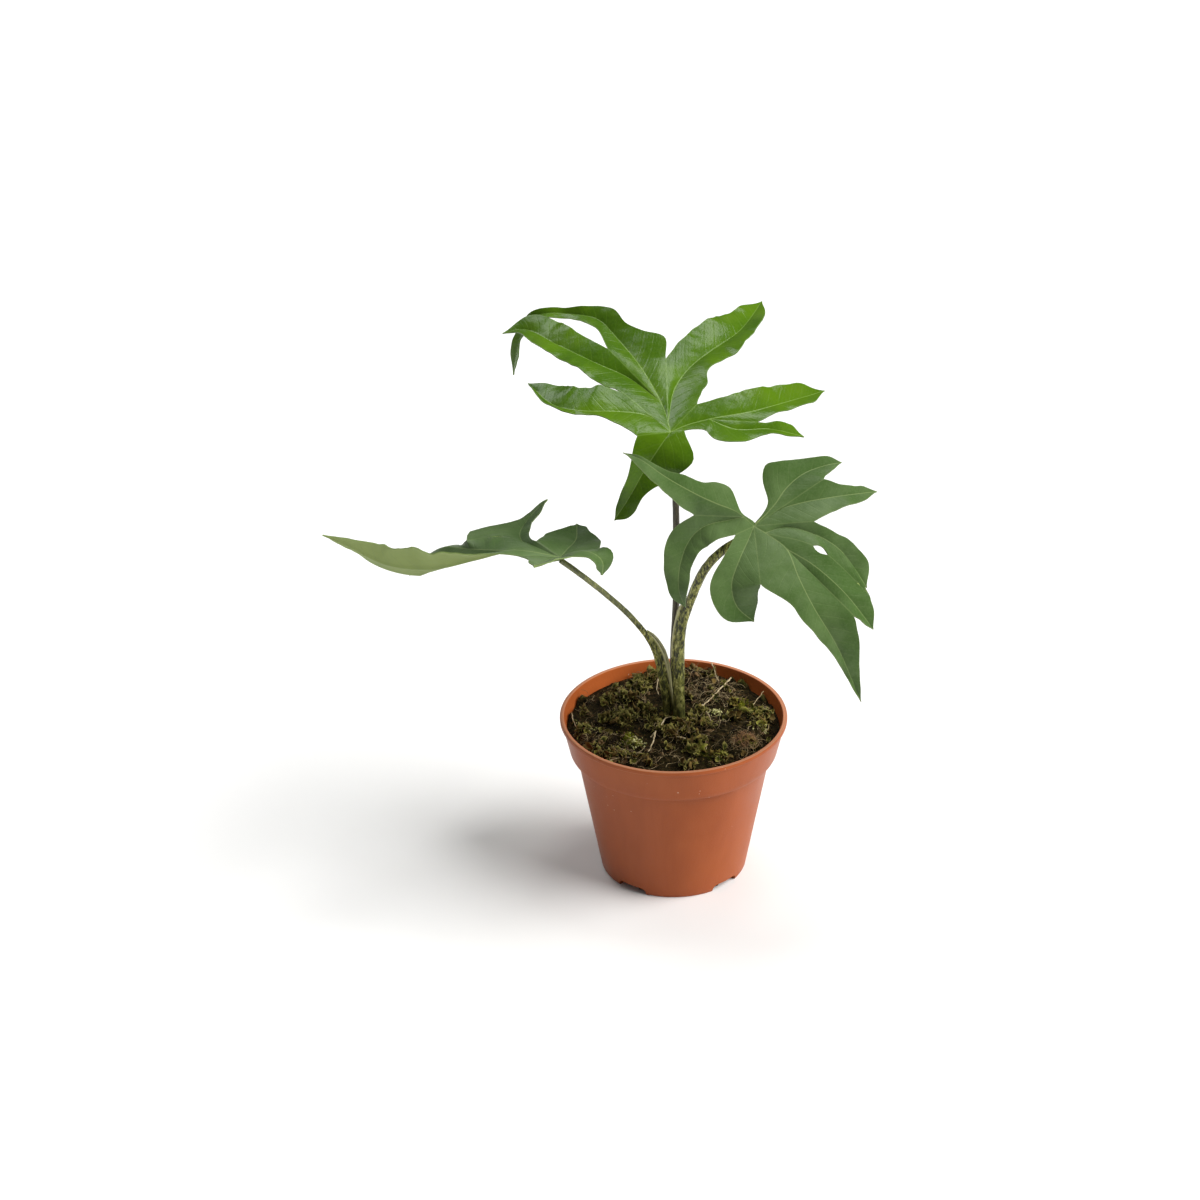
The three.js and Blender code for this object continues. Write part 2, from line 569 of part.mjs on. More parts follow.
// The left leaf, rolled away from the viewer, with a long tip lobe pointing left
const LEAF_LEFT = {
  attach: [-58, -15, 191.5],
  facing: [0, 0.38, 0.92],
  ribFade: 120,
  lobes: [
    {
      name: 'tip',
      rib: [[-73.5, -15, 195], [-85, -14, 195], [-101.5, -12, 189.5], [-124, -10, 183], [-148, -9, 185], [-168, -9, 196], [-179.5, -9, 201.5]],
      facing: [[0, 0.6, 0.8], [0, 0.78, 0.62], [0, 0.75, 0.66]],
      left: [12, 19, 20.5, 15.8, 8.8], right: [20, 14.5, 6.6, 3.2, 2], sinus: [-78.5, -20, 195],
    },
    {
      name: 'near',
      rib: [[-63, -22, 194], [-67, -36, 199.5], [-70, -48, 204.5]],
      facing: [[0, 0.33, 0.94]],
      left: [8.5, 6.8], right: [6.5, 4.5], sinus: [-51.5, -26, 198],
    },
    {
      name: 'near right',
      rib: [[-50.5, -17, 196], [-42, -19, 196.5], [-36.5, -21, 192.5], [-36.5, -23, 185.5]],
      facing: [[0.1, 0.1, 1], [0.5, -0.5, 0.7], [0.7, -0.6, 0.4]],
      left: [9.6, 7.4, 4.6], right: [6, 5.4, 4.6], sinus: [-38, -8, 193],
    },
    {
      name: 'far right',
      rib: [[-54.5, -4, 190.5], [-50.5, 12, 188], [-50.5, 30, 187.5]],
      facing: [[0, 0.2, 0.98]],
      left: [16.5, 15.5, 9.5, 3.6], right: [14.5, 11, 6.5, 4], sinus: [-70.5, 0, 193],
    },
    {
      name: 'far',
      rib: [[-74, 0, 189.5], [-80, 22, 185.5], [-75.5, 42, 185], [-66.5, 58, 187.5]],
      facing: [[0, 0.1, 1], [-0.2, 0, 1]],
      left: [22.5, 13.5, 6, 3.6, 2.8, 2.2, 1.8, 1.5, 1.2], right: [4, 5, 4.6, 3.6], sinus: [-107, 9.5, 188.5], through: [-86, 10, 189.5], gap: { from: 0.68, to: 0.8, width: 4.5 },
    },
    {
      name: 'far left', from: 'tip', branch: 28,
      rib: [[-108, 8, 184.5], [-120, 20, 179], [-132, 32, 165], [-139.5, 38, 152.5]],
      facing: [[0, 0.75, 0.65], [-0.3, 0.8, 0.5]],
      left: [7, 5], right: [9, 8.5], sinus: [-132, 13, 166],
    },
  ],
};

// Assembly

const STALK_BASE = RHIZOME_TOP + 0.3;

const STALK_TOP = {
  route: [[1.6, 8, STALK_BASE], [0.7, 8.5, 100], [0.1, 9, 120], [1.3, 11, 153], [1.4, 13, 188], [1, 13.5, 212], [-0.3, 13, 236], [-1.4, 12.6, 247.2]],
  widths: [5, 4.2, 3.8, 3.6, 3.6, 3.4, 3.4],
  depths: [4.4, 4, 3.8, 3.6, 3.6, 3.4, 3.4],
  grooves: [0.5, 0.4, 0, 0, 0, 0, 0],
  inner: [0, -1, 0],
};

const STALK_RIGHT = {
  route: [[2.9, 0.3, STALK_BASE], [2.6, -0.5, 100], [2.6, -1, 125], [4.2, -2, 144], [9.5, -4, 163], [17, -8, 182.5], [26, -10.5, 194], [35.8, -9.2, 200.4], [39.6, -8.2, 203.8]],
  widths: [5.6, 6.2, 6.2, 5.2, 4.9, 4.6, 4],
  depths: [7, 6.8, 6.4, 5.2, 4.9, 4.6, 3.8],
  grooves: [0.5, 0.7, 0.7, 0.3, 0, 0, 0],
  inner: [-1, 0.5, 0.3],
  sheath: { from: 0.28, to: 0.6, rises: [0, 0.9, 1.6, 2.6, 0.8] },
};

const STALK_LEFT = {
  route: [[-2.6, 3.2, STALK_BASE], [-3.1, 3.2, 92], [-6.2, 1.4, 114], [-10.6, 0, 131.5], [-20.6, -3, 148.5], [-34, -8, 165.5], [-49.5, -13.5, 182.5], [-57, -15.8, 189.1]],
  widths: [4.6, 5.4, 5, 3.4, 3.1, 3, 3],
  depths: [5.4, 5, 4.2, 3.2, 3, 3, 3],
  grooves: [0.5, 0.7, 0.7, 0.2, 0, 0, 0],
  inner: [1, 0.2, 0.3],
  sheath: { from: 0, to: 0.49, rises: [0.4, 0.4, 0.6, 1.2, 2.5, 3.3, 3.2, 2.3, 0.8] },
};

function piece(name, geometry, color, roughness) {
  const mesh = new THREE.Mesh(geometry, new THREE.MeshStandardMaterial({ color, roughness, metalness: 0 }));
  mesh.name = name;
  return mesh;
}

const plant = new THREE.Group();
plant.add(
  piece('pot', makePot(), 0x98512f, 0.55),
  piece('soil', makeSoil(), 0x2b2316, 0.95),
  piece('rhizome', makeRhizome(), 0x6b5a3a, 0.8),
  piece('petiole_top', makeStalk(STALK_TOP), 0x5a4f36, 0.5),
  piece('petiole_right', makeStalk(STALK_RIGHT), 0x7d7b45, 0.5),
  piece('petiole_left', makeStalk(STALK_LEFT), 0x6d6b45, 0.5),
  piece('leaf_top', makeBlade(LEAF_TOP), 0x47700f, 0.35),
  piece('leaf_right', makeBlade(LEAF_RIGHT), 0x53703a, 0.5),
  piece('leaf_left', makeBlade(LEAF_LEFT), 0x6c7f45, 0.5),
);

export default plant;
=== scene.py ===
import bisect
import math

import bmesh
import bpy
from mathutils import Matrix, Vector, noise
from mathutils.bvhtree import BVHTree


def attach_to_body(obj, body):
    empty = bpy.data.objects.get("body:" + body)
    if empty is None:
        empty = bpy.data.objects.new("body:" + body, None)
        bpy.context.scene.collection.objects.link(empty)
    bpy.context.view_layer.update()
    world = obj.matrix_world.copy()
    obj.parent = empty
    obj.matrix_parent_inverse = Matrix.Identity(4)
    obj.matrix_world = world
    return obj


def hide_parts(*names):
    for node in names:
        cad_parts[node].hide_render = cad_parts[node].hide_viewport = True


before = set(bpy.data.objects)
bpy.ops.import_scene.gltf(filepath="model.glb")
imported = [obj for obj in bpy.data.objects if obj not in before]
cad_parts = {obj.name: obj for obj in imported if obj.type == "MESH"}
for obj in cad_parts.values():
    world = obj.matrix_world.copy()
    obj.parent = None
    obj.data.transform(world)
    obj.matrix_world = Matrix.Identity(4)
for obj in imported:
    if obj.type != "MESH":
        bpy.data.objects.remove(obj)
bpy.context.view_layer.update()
MM = 0.001
scene = bpy.context.scene


# The studio: a flat white card in a white room. One very soft lamp lights it from the right, and
# two square white sheets fill it, one overhead and one at the back left. The camera stands two
# metres away and looks down on the plant.

CAMERA_PITCH = math.radians(28.74)
CAMERA_DISTANCE = 2.0
CAMERA_AIM_HEIGHT = 158.62 * MM
PICTURE_SIDE = 1200
FOCAL_PIXELS = 3857
AXIS_PIXEL = 673.56
SENSOR_MM = 36
FLOOR_HALF = 4.0
ROOM_LIGHT = 0.17
KEY_FROM = Vector((0.9, -0.17, 0.74))
KEY_POWER = 4.7
KEY_SOFTNESS = math.radians(50)
SHEET_AIM = Vector((0, 0, 0.25))
SHEET_DISTANCE = 1.5
SHEET_POWER = 6.5

camera = bpy.data.objects.new("camera", bpy.data.cameras.new("camera"))
scene.collection.objects.link(camera)
camera.location = (
    0,
    -CAMERA_DISTANCE * math.cos(CAMERA_PITCH),
    CAMERA_AIM_HEIGHT + CAMERA_DISTANCE * math.sin(CAMERA_PITCH),
)
camera.rotation_euler = (math.pi / 2 - CAMERA_PITCH, 0, 0)
camera.data.sensor_width = SENSOR_MM
camera.data.lens = SENSOR_MM * FOCAL_PIXELS / PICTURE_SIDE
camera.data.shift_x = (PICTURE_SIDE / 2 - AXIS_PIXEL) / PICTURE_SIDE
camera.data.clip_end = 20
scene.camera = camera
scene.view_settings.view_transform = "Standard"


def add(tree, kind, inputs=(), **settings):
    """A node of that kind with its settings, and its inputs as values or other nodes' sockets."""
    made = tree.nodes.new(kind)
    for name, value in settings.items():
        setattr(made, name, value)
    for name, value in dict(inputs).items():
        if isinstance(value, bpy.types.NodeSocket):
            tree.links.new(value, made.inputs[name])
        else:
            made.inputs[name].default_value = value
    return made


def surface(name, roughness, shine=0.5):
    """A material with its shader, its tree and the piece's own coordinates in metres."""
    made = bpy.data.materials.new(name)
    made.use_nodes = True
    shader = made.node_tree.nodes["Principled BSDF"]
    shader.inputs["Roughness"].default_value = roughness
    shader.inputs["Specular IOR Level"].default_value = shine
    place = add(made.node_tree, "ShaderNodeTexCoord").outputs["Object"]
    return made, shader, made.node_tree, place


def grain(tree, place, scale, detail=3.0, roughness=0.5, distortion=0.0, stretch=(1, 1, 1)):
    """Soft noise between 0 and 1 with that many grains to the metre."""
    if stretch != (1, 1, 1):
        place = add(tree, "ShaderNodeMapping", {"Vector": place, "Scale": stretch}).outputs["Vector"]
    return add(tree, "ShaderNodeTexNoise", {
        "Vector": place, "Scale": scale, "Detail": detail,
        "Roughness": roughness, "Distortion": distortion,
    }).outputs["Fac"]


def stepped(tree, value, low, high, to_low=0.0, to_high=1.0):
    """The value taken from the range low..high to the range to_low..to_high, with soft ends."""
    return add(tree, "ShaderNodeMapRange", {
        "Value": value, "From Min": low, "From Max": high, "To Min": to_low, "To Max": to_high,
    }, interpolation_type="SMOOTHSTEP").outputs["Result"]


def opaque(color):
    """A colour with its alpha, or the socket that gives one."""
    return color if isinstance(color, bpy.types.NodeSocket) else (*color, 1)


def mixed(tree, factor, first, second):
    """One colour laid over another by a factor."""
    colors = {0: factor, 6: opaque(first), 7: opaque(second)}
    return add(tree, "ShaderNodeMix", colors, data_type="RGBA").outputs[2]


def white_sheet(name, towards, side, color):
    """A square white sheet that glows on the plant from one direction."""
    data = bpy.data.lights.new(name, "AREA")
    data.shape = "SQUARE"
    data.size = side
    data.energy = SHEET_POWER
    data.color = color
    made = bpy.data.objects.new(name, data)
    scene.collection.objects.link(made)
    made.location = SHEET_AIM + SHEET_DISTANCE * Vector(towards).normalized()
    made.rotation_euler = Vector(towards).to_track_quat("Z", "Y").to_euler()


white_sheet("top_sheet", (0.2, 0.33, 1), 0.5, (1.0, 1.0, 0.97))
white_sheet("left_sheet", (-0.44, 0.44, 0.81), 0.6, (0.97, 0.985, 1.0))
key_light = bpy.data.lights.new("key_lamp", "SUN")
key_light.energy = KEY_POWER
key_light.angle = KEY_SOFTNESS
key_light.color = (1.0, 0.99, 0.97)
key_lamp = bpy.data.objects.new("key_lamp", key_light)
scene.collection.objects.link(key_lamp)
key_lamp.rotation_euler = KEY_FROM.to_track_quat("Z", "Y").to_euler()
key_lamp.visible_glossy = False

room = bpy.data.worlds.new("room")
room.use_nodes = True
room_light = room.node_tree.nodes["Background"]
room_light.inputs["Color"].default_value = (1, 1, 1, 1)
room_light.inputs["Strength"].default_value = ROOM_LIGHT
scene.world = room

card_mesh = bpy.data.meshes.new("card")
card_corners = [(x * FLOOR_HALF, y * FLOOR_HALF, 0) for x, y in ((-1, -1), (1, -1), (1, 1), (-1, 1))]
card_mesh.from_pydata(card_corners, [], [(0, 1, 2, 3)])
card = bpy.data.objects.new("card", card_mesh)
scene.collection.objects.link(card)
card_paint, shader, tree, place = surface("card_paint", roughness=0.9)
color = mixed(tree, grain(tree, place, 6), (0.84, 0.84, 0.84), (0.85, 0.85, 0.85))
tree.links.new(color, shader.inputs["Base Color"])
card_mesh.materials.append(card_paint)


# The pot: one thin moulding in terracotta-coloured plastic, with a lip, a tapered collar, four
# low arches in its foot and a drain channel with a hole behind each arch. Its surface is satin,
# with faint flow marks from the mould, a painted highlight along the rim's top edge, two small
# pale marks on the collar, and a brighter orange painted inside the collar for light that
# shines through the thin wall.

WALL = 1.2
POT_HEIGHT = 90
RIM_RADIUS = 60
LIP_BOTTOM = 87.5
COLLAR_TOP_RADIUS = 58.8
COLLAR_BOTTOM = 70
COLLAR_BOTTOM_RADIUS = 55
BODY_TOP_RADIUS = 51.6
FOOT_RADIUS = 38.6
POT_SIDES = 144
CHANNEL_DIRECTIONS = (-45, 55, 135, 235)
CHANNEL_WIDTH = 17
CHANNEL_HEIGHT = 3.8
CHANNEL_START = 18
DRAIN_DISTANCE = 27
DRAIN_RADIUS = 3
WELD = 0.02 * MM
PALE_MARKS = ((2.3, -56.4, 75.8), (13.8, -54.8, 75.8))


def finish_piece(name, mesh, material, slot, *stands_for, crease=40):
    """The mesh as a smooth finished piece that rides on the model."""
    made = bpy.data.objects.new(name, mesh)
    scene.collection.objects.link(made)
    mesh.materials.clear()
    mesh.materials.append(material)
    mesh.shade_smooth()
    mesh.set_sharp_from_angle(angle=math.radians(crease))
    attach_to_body(made, "root")
    if stands_for:
        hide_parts(*stands_for)


def turned(name, profile, sides):
    """A closed solid turned about the pot's axis from a profile that starts and ends on it."""
    rings = profile[1:-1]
    points = []
    for r, z in rings:
        for s in range(sides):
            angle = math.tau * s / sides
            points.append((r * MM * math.cos(angle), r * MM * math.sin(angle), z * MM))
    points += [(0, 0, profile[0][1] * MM), (0, 0, profile[-1][1] * MM)]
    first, last = len(points) - 2, len(points) - 1
    faces = []
    for s in range(sides):
        after = (s + 1) % sides
        faces.append((first, after, s))
        for ring in range(len(rings) - 1):
            low, high = ring * sides, (ring + 1) * sides
            faces.append((low + s, low + after, high + after, high + s))
        top = (len(rings) - 1) * sides
        faces.append((last, top + s, top + after))
    mesh = bpy.data.meshes.new(name)
    mesh.from_pydata(points, [], faces)
    return mesh


def arch_bar(margin):
    """A bar with an arched top that runs outwards along X on the ground."""
    half = CHANNEL_WIDTH / 2 + margin
    height = CHANNEL_HEIGHT + margin
    outline = [(-half, -1), (half, -1), (half, height * 0.35)]
    steps = 8
    corner = [(1, 0.35), (0.95, 0.9), (0.8, 1), (0.55, 1)]
    for step in range(1, steps + 1):
        t = step / steps
        weights = ((1 - t) ** 3, 3 * t * (1 - t) ** 2, 3 * t * t * (1 - t), t ** 3)
        outline.append((half * sum(w * c[0] for w, c in zip(weights, corner)),
                        height * sum(w * c[1] for w, c in zip(weights, corner))))
    outline += [(-y, z) for y, z in reversed(outline[3:])]
    outline.append((-half, height * 0.35))
    count = len(outline)
    ends = (CHANNEL_START - margin, RIM_RADIUS + 5)
    points = [(x * MM, y * MM, z * MM) for x in ends for y, z in outline]
    faces = [tuple(reversed(range(count))), tuple(range(count, 2 * count))]
    faces += [(i, (i + 1) % count, count + (i + 1) % count, count + i) for i in range(count)]
    mesh = bpy.data.meshes.new("arch_bar")
    mesh.from_pydata(points, [], faces)
    return mesh


def evaluated_mesh(made):
    """A plain mesh of the object as its modifiers leave it."""
    bpy.context.view_layer.update()
    depsgraph = bpy.context.evaluated_depsgraph_get()
    return bpy.data.meshes.new_from_object(made.evaluated_get(depsgraph))


def cut(mesh, cutters):
    """The mesh with the cutters' room taken out of it, and without the slivers that leaves."""
    solid = bpy.data.objects.new("solid", mesh)
    scene.collection.objects.link(solid)
    tools = []
    for cutter in cutters:
        tool = bpy.data.objects.new("tool", cutter)
        scene.collection.objects.link(tool)
        tools.append(tool)
        step = solid.modifiers.new("cut", "BOOLEAN")
        step.operation = "DIFFERENCE"
        step.solver = "EXACT"
        step.object = tool
    result = evaluated_mesh(solid)
    for used in [solid, *tools]:
        bpy.data.objects.remove(used)
    work = bmesh.new()
    work.from_mesh(result)
    bmesh.ops.remove_doubles(work, verts=work.verts, dist=WELD)
    bmesh.ops.dissolve_degenerate(work, edges=work.edges, dist=WELD)
    work.to_mesh(result)
    work.free()
    return result


def around_pot(make):
    """The same cutter once at each drain channel."""
    cutters = []
    for degrees in CHANNEL_DIRECTIONS:
        cutter = make()
        cutter.transform(Matrix.Rotation(math.radians(degrees), 4, "Z"))
        cutters.append(cutter)
    return cutters


def drain_hole():
    """A rod that passes through the pot's base."""
    low, high = 0.5, 8
    hole = turned("drain_hole", [(0, low), (DRAIN_RADIUS, low), (DRAIN_RADIUS, high), (0, high)], 32)
    hole.transform(Matrix.Translation((DRAIN_DISTANCE * MM, 0, 0)))
    return hole


def body_radius(z):
    """The outer radius in mm of the tapered body at a height in mm."""
    return FOOT_RADIUS + (BODY_TOP_RADIUS - FOOT_RADIUS) * z / COLLAR_BOTTOM


def maths(tree, how, first, second=0.0):
    """Two values joined by one operation."""
    return add(tree, "ShaderNodeMath", {0: first, 1: second}, operation=how).outputs[0]


def coat(tree, shader, color, height, depth_mm):
    """The colour on the shader, with fine relief of that depth."""
    tree.links.new(color, shader.inputs["Base Color"])
    bump = add(tree, "ShaderNodeBump", {"Height": height, "Distance": depth_mm * MM, "Strength": 1.0})
    tree.links.new(bump.outputs["Normal"], shader.inputs["Normal"])


collar_top_inside = COLLAR_TOP_RADIUS - WALL
foot_loops = [(body_radius(z), z) for z in (1.0, 2.6, 4.6, 8, 24, 48, 67)]
pot_outside = [
    (0, 0), (FOOT_RADIUS - 3, 0), (FOOT_RADIUS - 0.8, 0), (FOOT_RADIUS - 0.25, 0.2), *foot_loops,
    (body_radius(69), 69), (body_radius(69) + 0.3, 69.6), (COLLAR_BOTTOM_RADIUS - 1.2, 69.9),
    (COLLAR_BOTTOM_RADIUS - 0.4, 70.2), (COLLAR_BOTTOM_RADIUS, 71), (COLLAR_BOTTOM_RADIUS + 0.4, 72.8),
    (COLLAR_TOP_RADIUS - 0.4, 85.5), (COLLAR_TOP_RADIUS, LIP_BOTTOM),
    (RIM_RADIUS - 0.4, LIP_BOTTOM + 0.05), (RIM_RADIUS - 0.05, LIP_BOTTOM + 0.45),
    (RIM_RADIUS, LIP_BOTTOM + 1), (RIM_RADIUS, POT_HEIGHT - 0.8), (RIM_RADIUS - 0.15, POT_HEIGHT - 0.3),
    (RIM_RADIUS - 0.6, POT_HEIGHT), (RIM_RADIUS - 1.6, POT_HEIGHT), (0, POT_HEIGHT),
]
pot_inside = [
    (0, WALL), (body_radius(WALL) - WALL, WALL), (body_radius(8) - WALL, 8),
    (body_radius(COLLAR_BOTTOM) - WALL, COLLAR_BOTTOM),
    (COLLAR_BOTTOM_RADIUS - WALL - 0.6, COLLAR_BOTTOM + 1.4),
    (COLLAR_BOTTOM_RADIUS - WALL, COLLAR_BOTTOM + 2), (collar_top_inside, LIP_BOTTOM),
    (collar_top_inside, POT_HEIGHT - 0.7), (collar_top_inside + 0.15, POT_HEIGHT - 0.2),
    (collar_top_inside + 0.6, POT_HEIGHT + 0.05), (collar_top_inside + 0.6, POT_HEIGHT + 1),
    (0, POT_HEIGHT + 1),
]
pot_room = cut(turned("pot_room", pot_inside, POT_SIDES), around_pot(lambda: arch_bar(WALL)))
pot_mesh = cut(turned("pot", pot_outside, POT_SIDES), [
    pot_room, *around_pot(lambda: arch_bar(0)), *around_pot(drain_hole)])

pot_plastic, shader, tree, place = surface("pot_plastic", roughness=0.42, shine=0.28)
flow_marks = grain(tree, place, 55, 4, 0.55, 0.6, (1, 1, 0.16))
clouds = grain(tree, place, 22, 3, 0.5)
color = mixed(tree, stepped(tree, flow_marks, 0.35, 0.7), (0.34, 0.077, 0.017), (0.295, 0.064, 0.012))
color = mixed(tree, stepped(tree, clouds, 0.45, 0.75, 0, 0.4), color, (0.39, 0.105, 0.028))
# painted light: the inside of the collar is painted a brighter orange, standing in for light that shines
# through the thin wall
place_x, place_y, place_z = add(tree, "ShaderNodeSeparateXYZ", {"Vector": place}).outputs
outwards = add(tree, "ShaderNodeCombineXYZ", {"X": place_x, "Y": place_y}).outputs[0]
from_axis = add(tree, "ShaderNodeVectorMath", {0: outwards}, operation="LENGTH").outputs["Value"]
COLLAR_SLOPE = (COLLAR_TOP_RADIUS - COLLAR_BOTTOM_RADIUS) / (LIP_BOTTOM - COLLAR_BOTTOM)
upright = maths(tree, "SUBTRACT", from_axis, maths(tree, "MULTIPLY", place_z, COLLAR_SLOPE))
wall_middle = (COLLAR_BOTTOM_RADIUS - COLLAR_SLOPE * COLLAR_BOTTOM - WALL / 2) * MM
inner = stepped(tree, upright, wall_middle - 0.1 * MM, wall_middle + 0.1 * MM, 0.8, 0)
above_body = stepped(tree, place_z, COLLAR_BOTTOM * MM, (COLLAR_BOTTOM + 2) * MM)
color = mixed(tree, maths(tree, "MULTIPLY", inner, above_body), color, (0.55, 0.135, 0.034))
# painted highlight: a pale band along the rim's top edge
painted_rim_highlight = stepped(tree, place_z, (POT_HEIGHT - 0.35) * MM, POT_HEIGHT * MM, 0, 0.55)
color = mixed(tree, painted_rim_highlight, color, (0.5, 0.27, 0.17))
# two small pale marks painted on the front of the collar
for spot in PALE_MARKS:
    to_spot = add(tree, "ShaderNodeVectorMath", {0: place, 1: Vector(spot) * MM}, operation="DISTANCE")
    pale_mark = stepped(tree, to_spot.outputs["Value"], 0.25 * MM, 0.6 * MM, 0.8, 0)
    color = mixed(tree, pale_mark, color, (0.8, 0.6, 0.42))
specks = stepped(tree, grain(tree, place, 420, 2, 0.5), 0.77, 0.8)
color = mixed(tree, specks, color, (0.7, 0.42, 0.28))
tree.links.new(stepped(tree, clouds, 0.3, 0.75, 0.36, 0.5), shader.inputs["Roughness"])
pot_grain = maths(tree, "ADD", grain(tree, place, 1400, 2, 0.6), maths(tree, "MULTIPLY", flow_marks, 2.0))
coat(tree, shader, color, pot_grain, depth_mm=0.08)
finish_piece("pot_body", pot_mesh, pot_plastic, "pot_plastic", "pot", crease=32)


# The substrate: moist peat and bark that fills the pot. A loose layer on top closes round the
# stalks in mossy lumps about 7 mm wide, piled highest at the back wall, with hollows between.

SOIL_RADIUS = 55.9
SOIL_RINGS = 105
SOIL_SECTORS = 350
TOP_LAYER_MM = 4.0
TAPER = 0.975
CROWN = Vector((0.5, 3.5, 0))
CROWN_ROOM = 10.5
LUMP_MM = 7.5
LUMP_RISE = 5.6
HIGHEST_MM = 88.8
USUAL_FILL = 82.0
LAYER_MIDDLE = 78
PILE_DEPTH_MM = 5
CLEAR_RADIUS = 52.5
CLEAR_WIDTH = 1.5

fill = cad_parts["soil"].data
fill_corners = [v.co for v in fill.vertices]
fill_shape = BVHTree.FromPolygons(fill_corners, [tuple(p.vertices) for p in fill.polygons])


def fill_height(x, y):
    """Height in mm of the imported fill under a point, with the hole for the stalks closed over."""
    away = Vector((x, y, 0)) - CROWN
    if away.length < CROWN_ROOM:
        reach = CROWN_ROOM * 1.01
        angles = (0.3, 1.9, 3.4, 5.0)
        spots = [fill_height(CROWN.x + reach * math.cos(a), CROWN.y + reach * math.sin(a)) for a in angles]
        return sum(spots) / len(spots)
    inwards = min(1.0, (SOIL_RADIUS - 2.2) / max(1.0, math.hypot(x, y)))
    hit = fill_shape.ray_cast(Vector((x * inwards, y * inwards, 200)) * MM, Vector((0, 0, -1)))
    return hit[0].z / MM if hit[0] else USUAL_FILL


# Mounds and hollows: place and reach in mm, and rise in mm
MOUNDS = [
    (-51, 24, 6, 3.6), (-46, -6, 6, 3.0), (-22, -19, 6, 2.4), (-24, 2, 7, 3.0), (-12, 6, 5, 2.2),
    (-17, 42, 10, 3.6), (-33, 20, 8, 1.2), (-1, -13, 6, 2.8), (11, -29, 6, 2.4), (21, -36, 6, 2.2),
    (-18, -38, 6, 1.2), (17, 30, 11, 2.0), (14, 49, 9, 3.6), (31, 42, 8, 2.4), (22, 9, 5, 2.4),
    (34, 20, 7, 2.6), (45, 8, 6, 2.6), (47, -6, 4, 1.6), (37, -22, 6.5, 3.6), (-36, -31, 6, 1.4),
    (-30, -10, 5, -2.2), (-9, -21, 5, -2.4), (38, 2, 4, -2.0), (27, -9, 6, -2.2), (-12, 20, 5, -2.0),
    (51, -14, 4, -2.0), (2, -34, 5, -1.6), (-38, 33, 7, -2.0), (1, -6, 4.5, 2.6), (-8, -3, 4, 1.8),
    (12, -8, 5, 2.0), (-2, -27, 5, 1.8), (26, -27, 4, 2.0), (-47, 10, 5, 1.8),
]
# Patches on them: place and reach in mm, and how full they are
FRESH_MOSS = [
    (-46, -6, 5, 0.6), (-24, -18, 5.5, 1.0), (-19, -22, 4, 1.0), (34, 21, 6, 0.8), (40, 14, 5, 0.6),
    (45, 8, 5, 0.6), (47, -6, 4, 0.8), (22, -37, 5, 0.9), (14, -31, 5, 0.5), (-18, 3, 4, 0.3),
    (8, 6, 4, 0.4), (2, 40, 5, 0.25), (-2, -14, 5, 0.3), (1, -6, 4, 0.2), (15, -26, 4, 0.4),
    (-30, 12, 5, 0.2),
]
TUFTS = [
    (-19.5, -22, 3.4, 1.0), (-46, -4, 4.5, 0.45), (22.5, 9.5, 3.4, 0.9), (46, 9, 4.5, 0.5),
    (47, -6, 3, 0.7), (23, -38, 3.4, 0.5),
]
LITTER = [
    (17, 30, 12, 1.0), (14, 50, 10, 0.9), (31, 42, 8, 0.9), (-51, 22, 7, 0.8), (-18, -38, 9, 0.8),
    (-42, -18, 9, 0.5), (44, -10, 10, 0.4), (18, -4, 8, 0.5), (-17, 44, 9, 0.5),
]
WOOL = [(37, -22, 6.5, 1.0)]


def near_spots(spots, x, y):
    """The sum of the spots' amounts that reach a place."""
    return sum(
        amount * math.exp(-((x - spot_x) ** 2 + (y - spot_y) ** 2) / reach ** 2)
        for spot_x, spot_y, reach, amount in spots)


def lump(x, y, size):
    """A domed lump between 0 and 1 for every cell of that size, each of its own height."""
    place = Vector((x, y, 0)) / size
    place += Vector((noise.noise(place * 1.7), noise.noise(place * 1.7 + Vector((9, 4, 2))), 0)) * 0.4
    distances, centres = noise.voronoi(place)
    crevice = min(1.0, (distances[1] - distances[0]) / 0.42)
    dome = 1 - 0.45 * min(1.0, distances[0]) ** 2
    return crevice ** 0.6 * dome * (0.45 + 0.55 * noise.cell(centres[0] * 31))


def loose_rise(x, y):
    """Rise in mm of the loose top above the fill."""
    broad = noise.fractal(Vector((x, y, 3)) * 0.12, 1.0, 2.1, 2)
    rough = noise.fractal(Vector((x, y, 9)) * 0.5, 0.8, 2.1, 3)
    lumps = LUMP_RISE * lump(x, y, LUMP_MM) + 1.1 * lump(x + 50, y, LUMP_MM * 0.35)
    return max(-0.3, near_spots(MOUNDS, x, y) + lumps + 0.8 * broad + 0.7 * rough - 2.2)


def soil_height(x, y):
    """Height in mm of the loose top, which stays a little under the rim."""
    return min(HIGHEST_MM, fill_height(x, y) + loose_rise(x, y))


soil_points = [Vector((0, 0, soil_height(0, 0)))]
for ring in range(1, SOIL_RINGS + 1):
    radius = SOIL_RADIUS * ring / SOIL_RINGS
    for sector in range(SOIL_SECTORS):
        angle = math.tau * sector / SOIL_SECTORS
        x, y = radius * math.cos(angle), radius * math.sin(angle)
        soil_points.append(Vector((x, y, soil_height(x, y))))
soil_faces = [(0, 1 + s, 1 + (s + 1) % SOIL_SECTORS) for s in range(SOIL_SECTORS)]
for ring in range(SOIL_RINGS - 1):
    low, high = 1 + ring * SOIL_SECTORS, 1 + (ring + 1) * SOIL_SECTORS
    for s in range(SOIL_SECTORS):
        after = (s + 1) % SOIL_SECTORS
        soil_faces.append((low + s, high + s, high + after, low + after))
edge_start = 1 + (SOIL_RINGS - 1) * SOIL_SECTORS
bottom = [Vector((p.x * TAPER, p.y * TAPER, p.z - TOP_LAYER_MM)) for p in soil_points[edge_start:]]
layer_points = soil_points + bottom + [Vector((0, 0, LAYER_MIDDLE))]
layer_faces = list(soil_faces)
under, centre = len(soil_points), len(layer_points) - 1
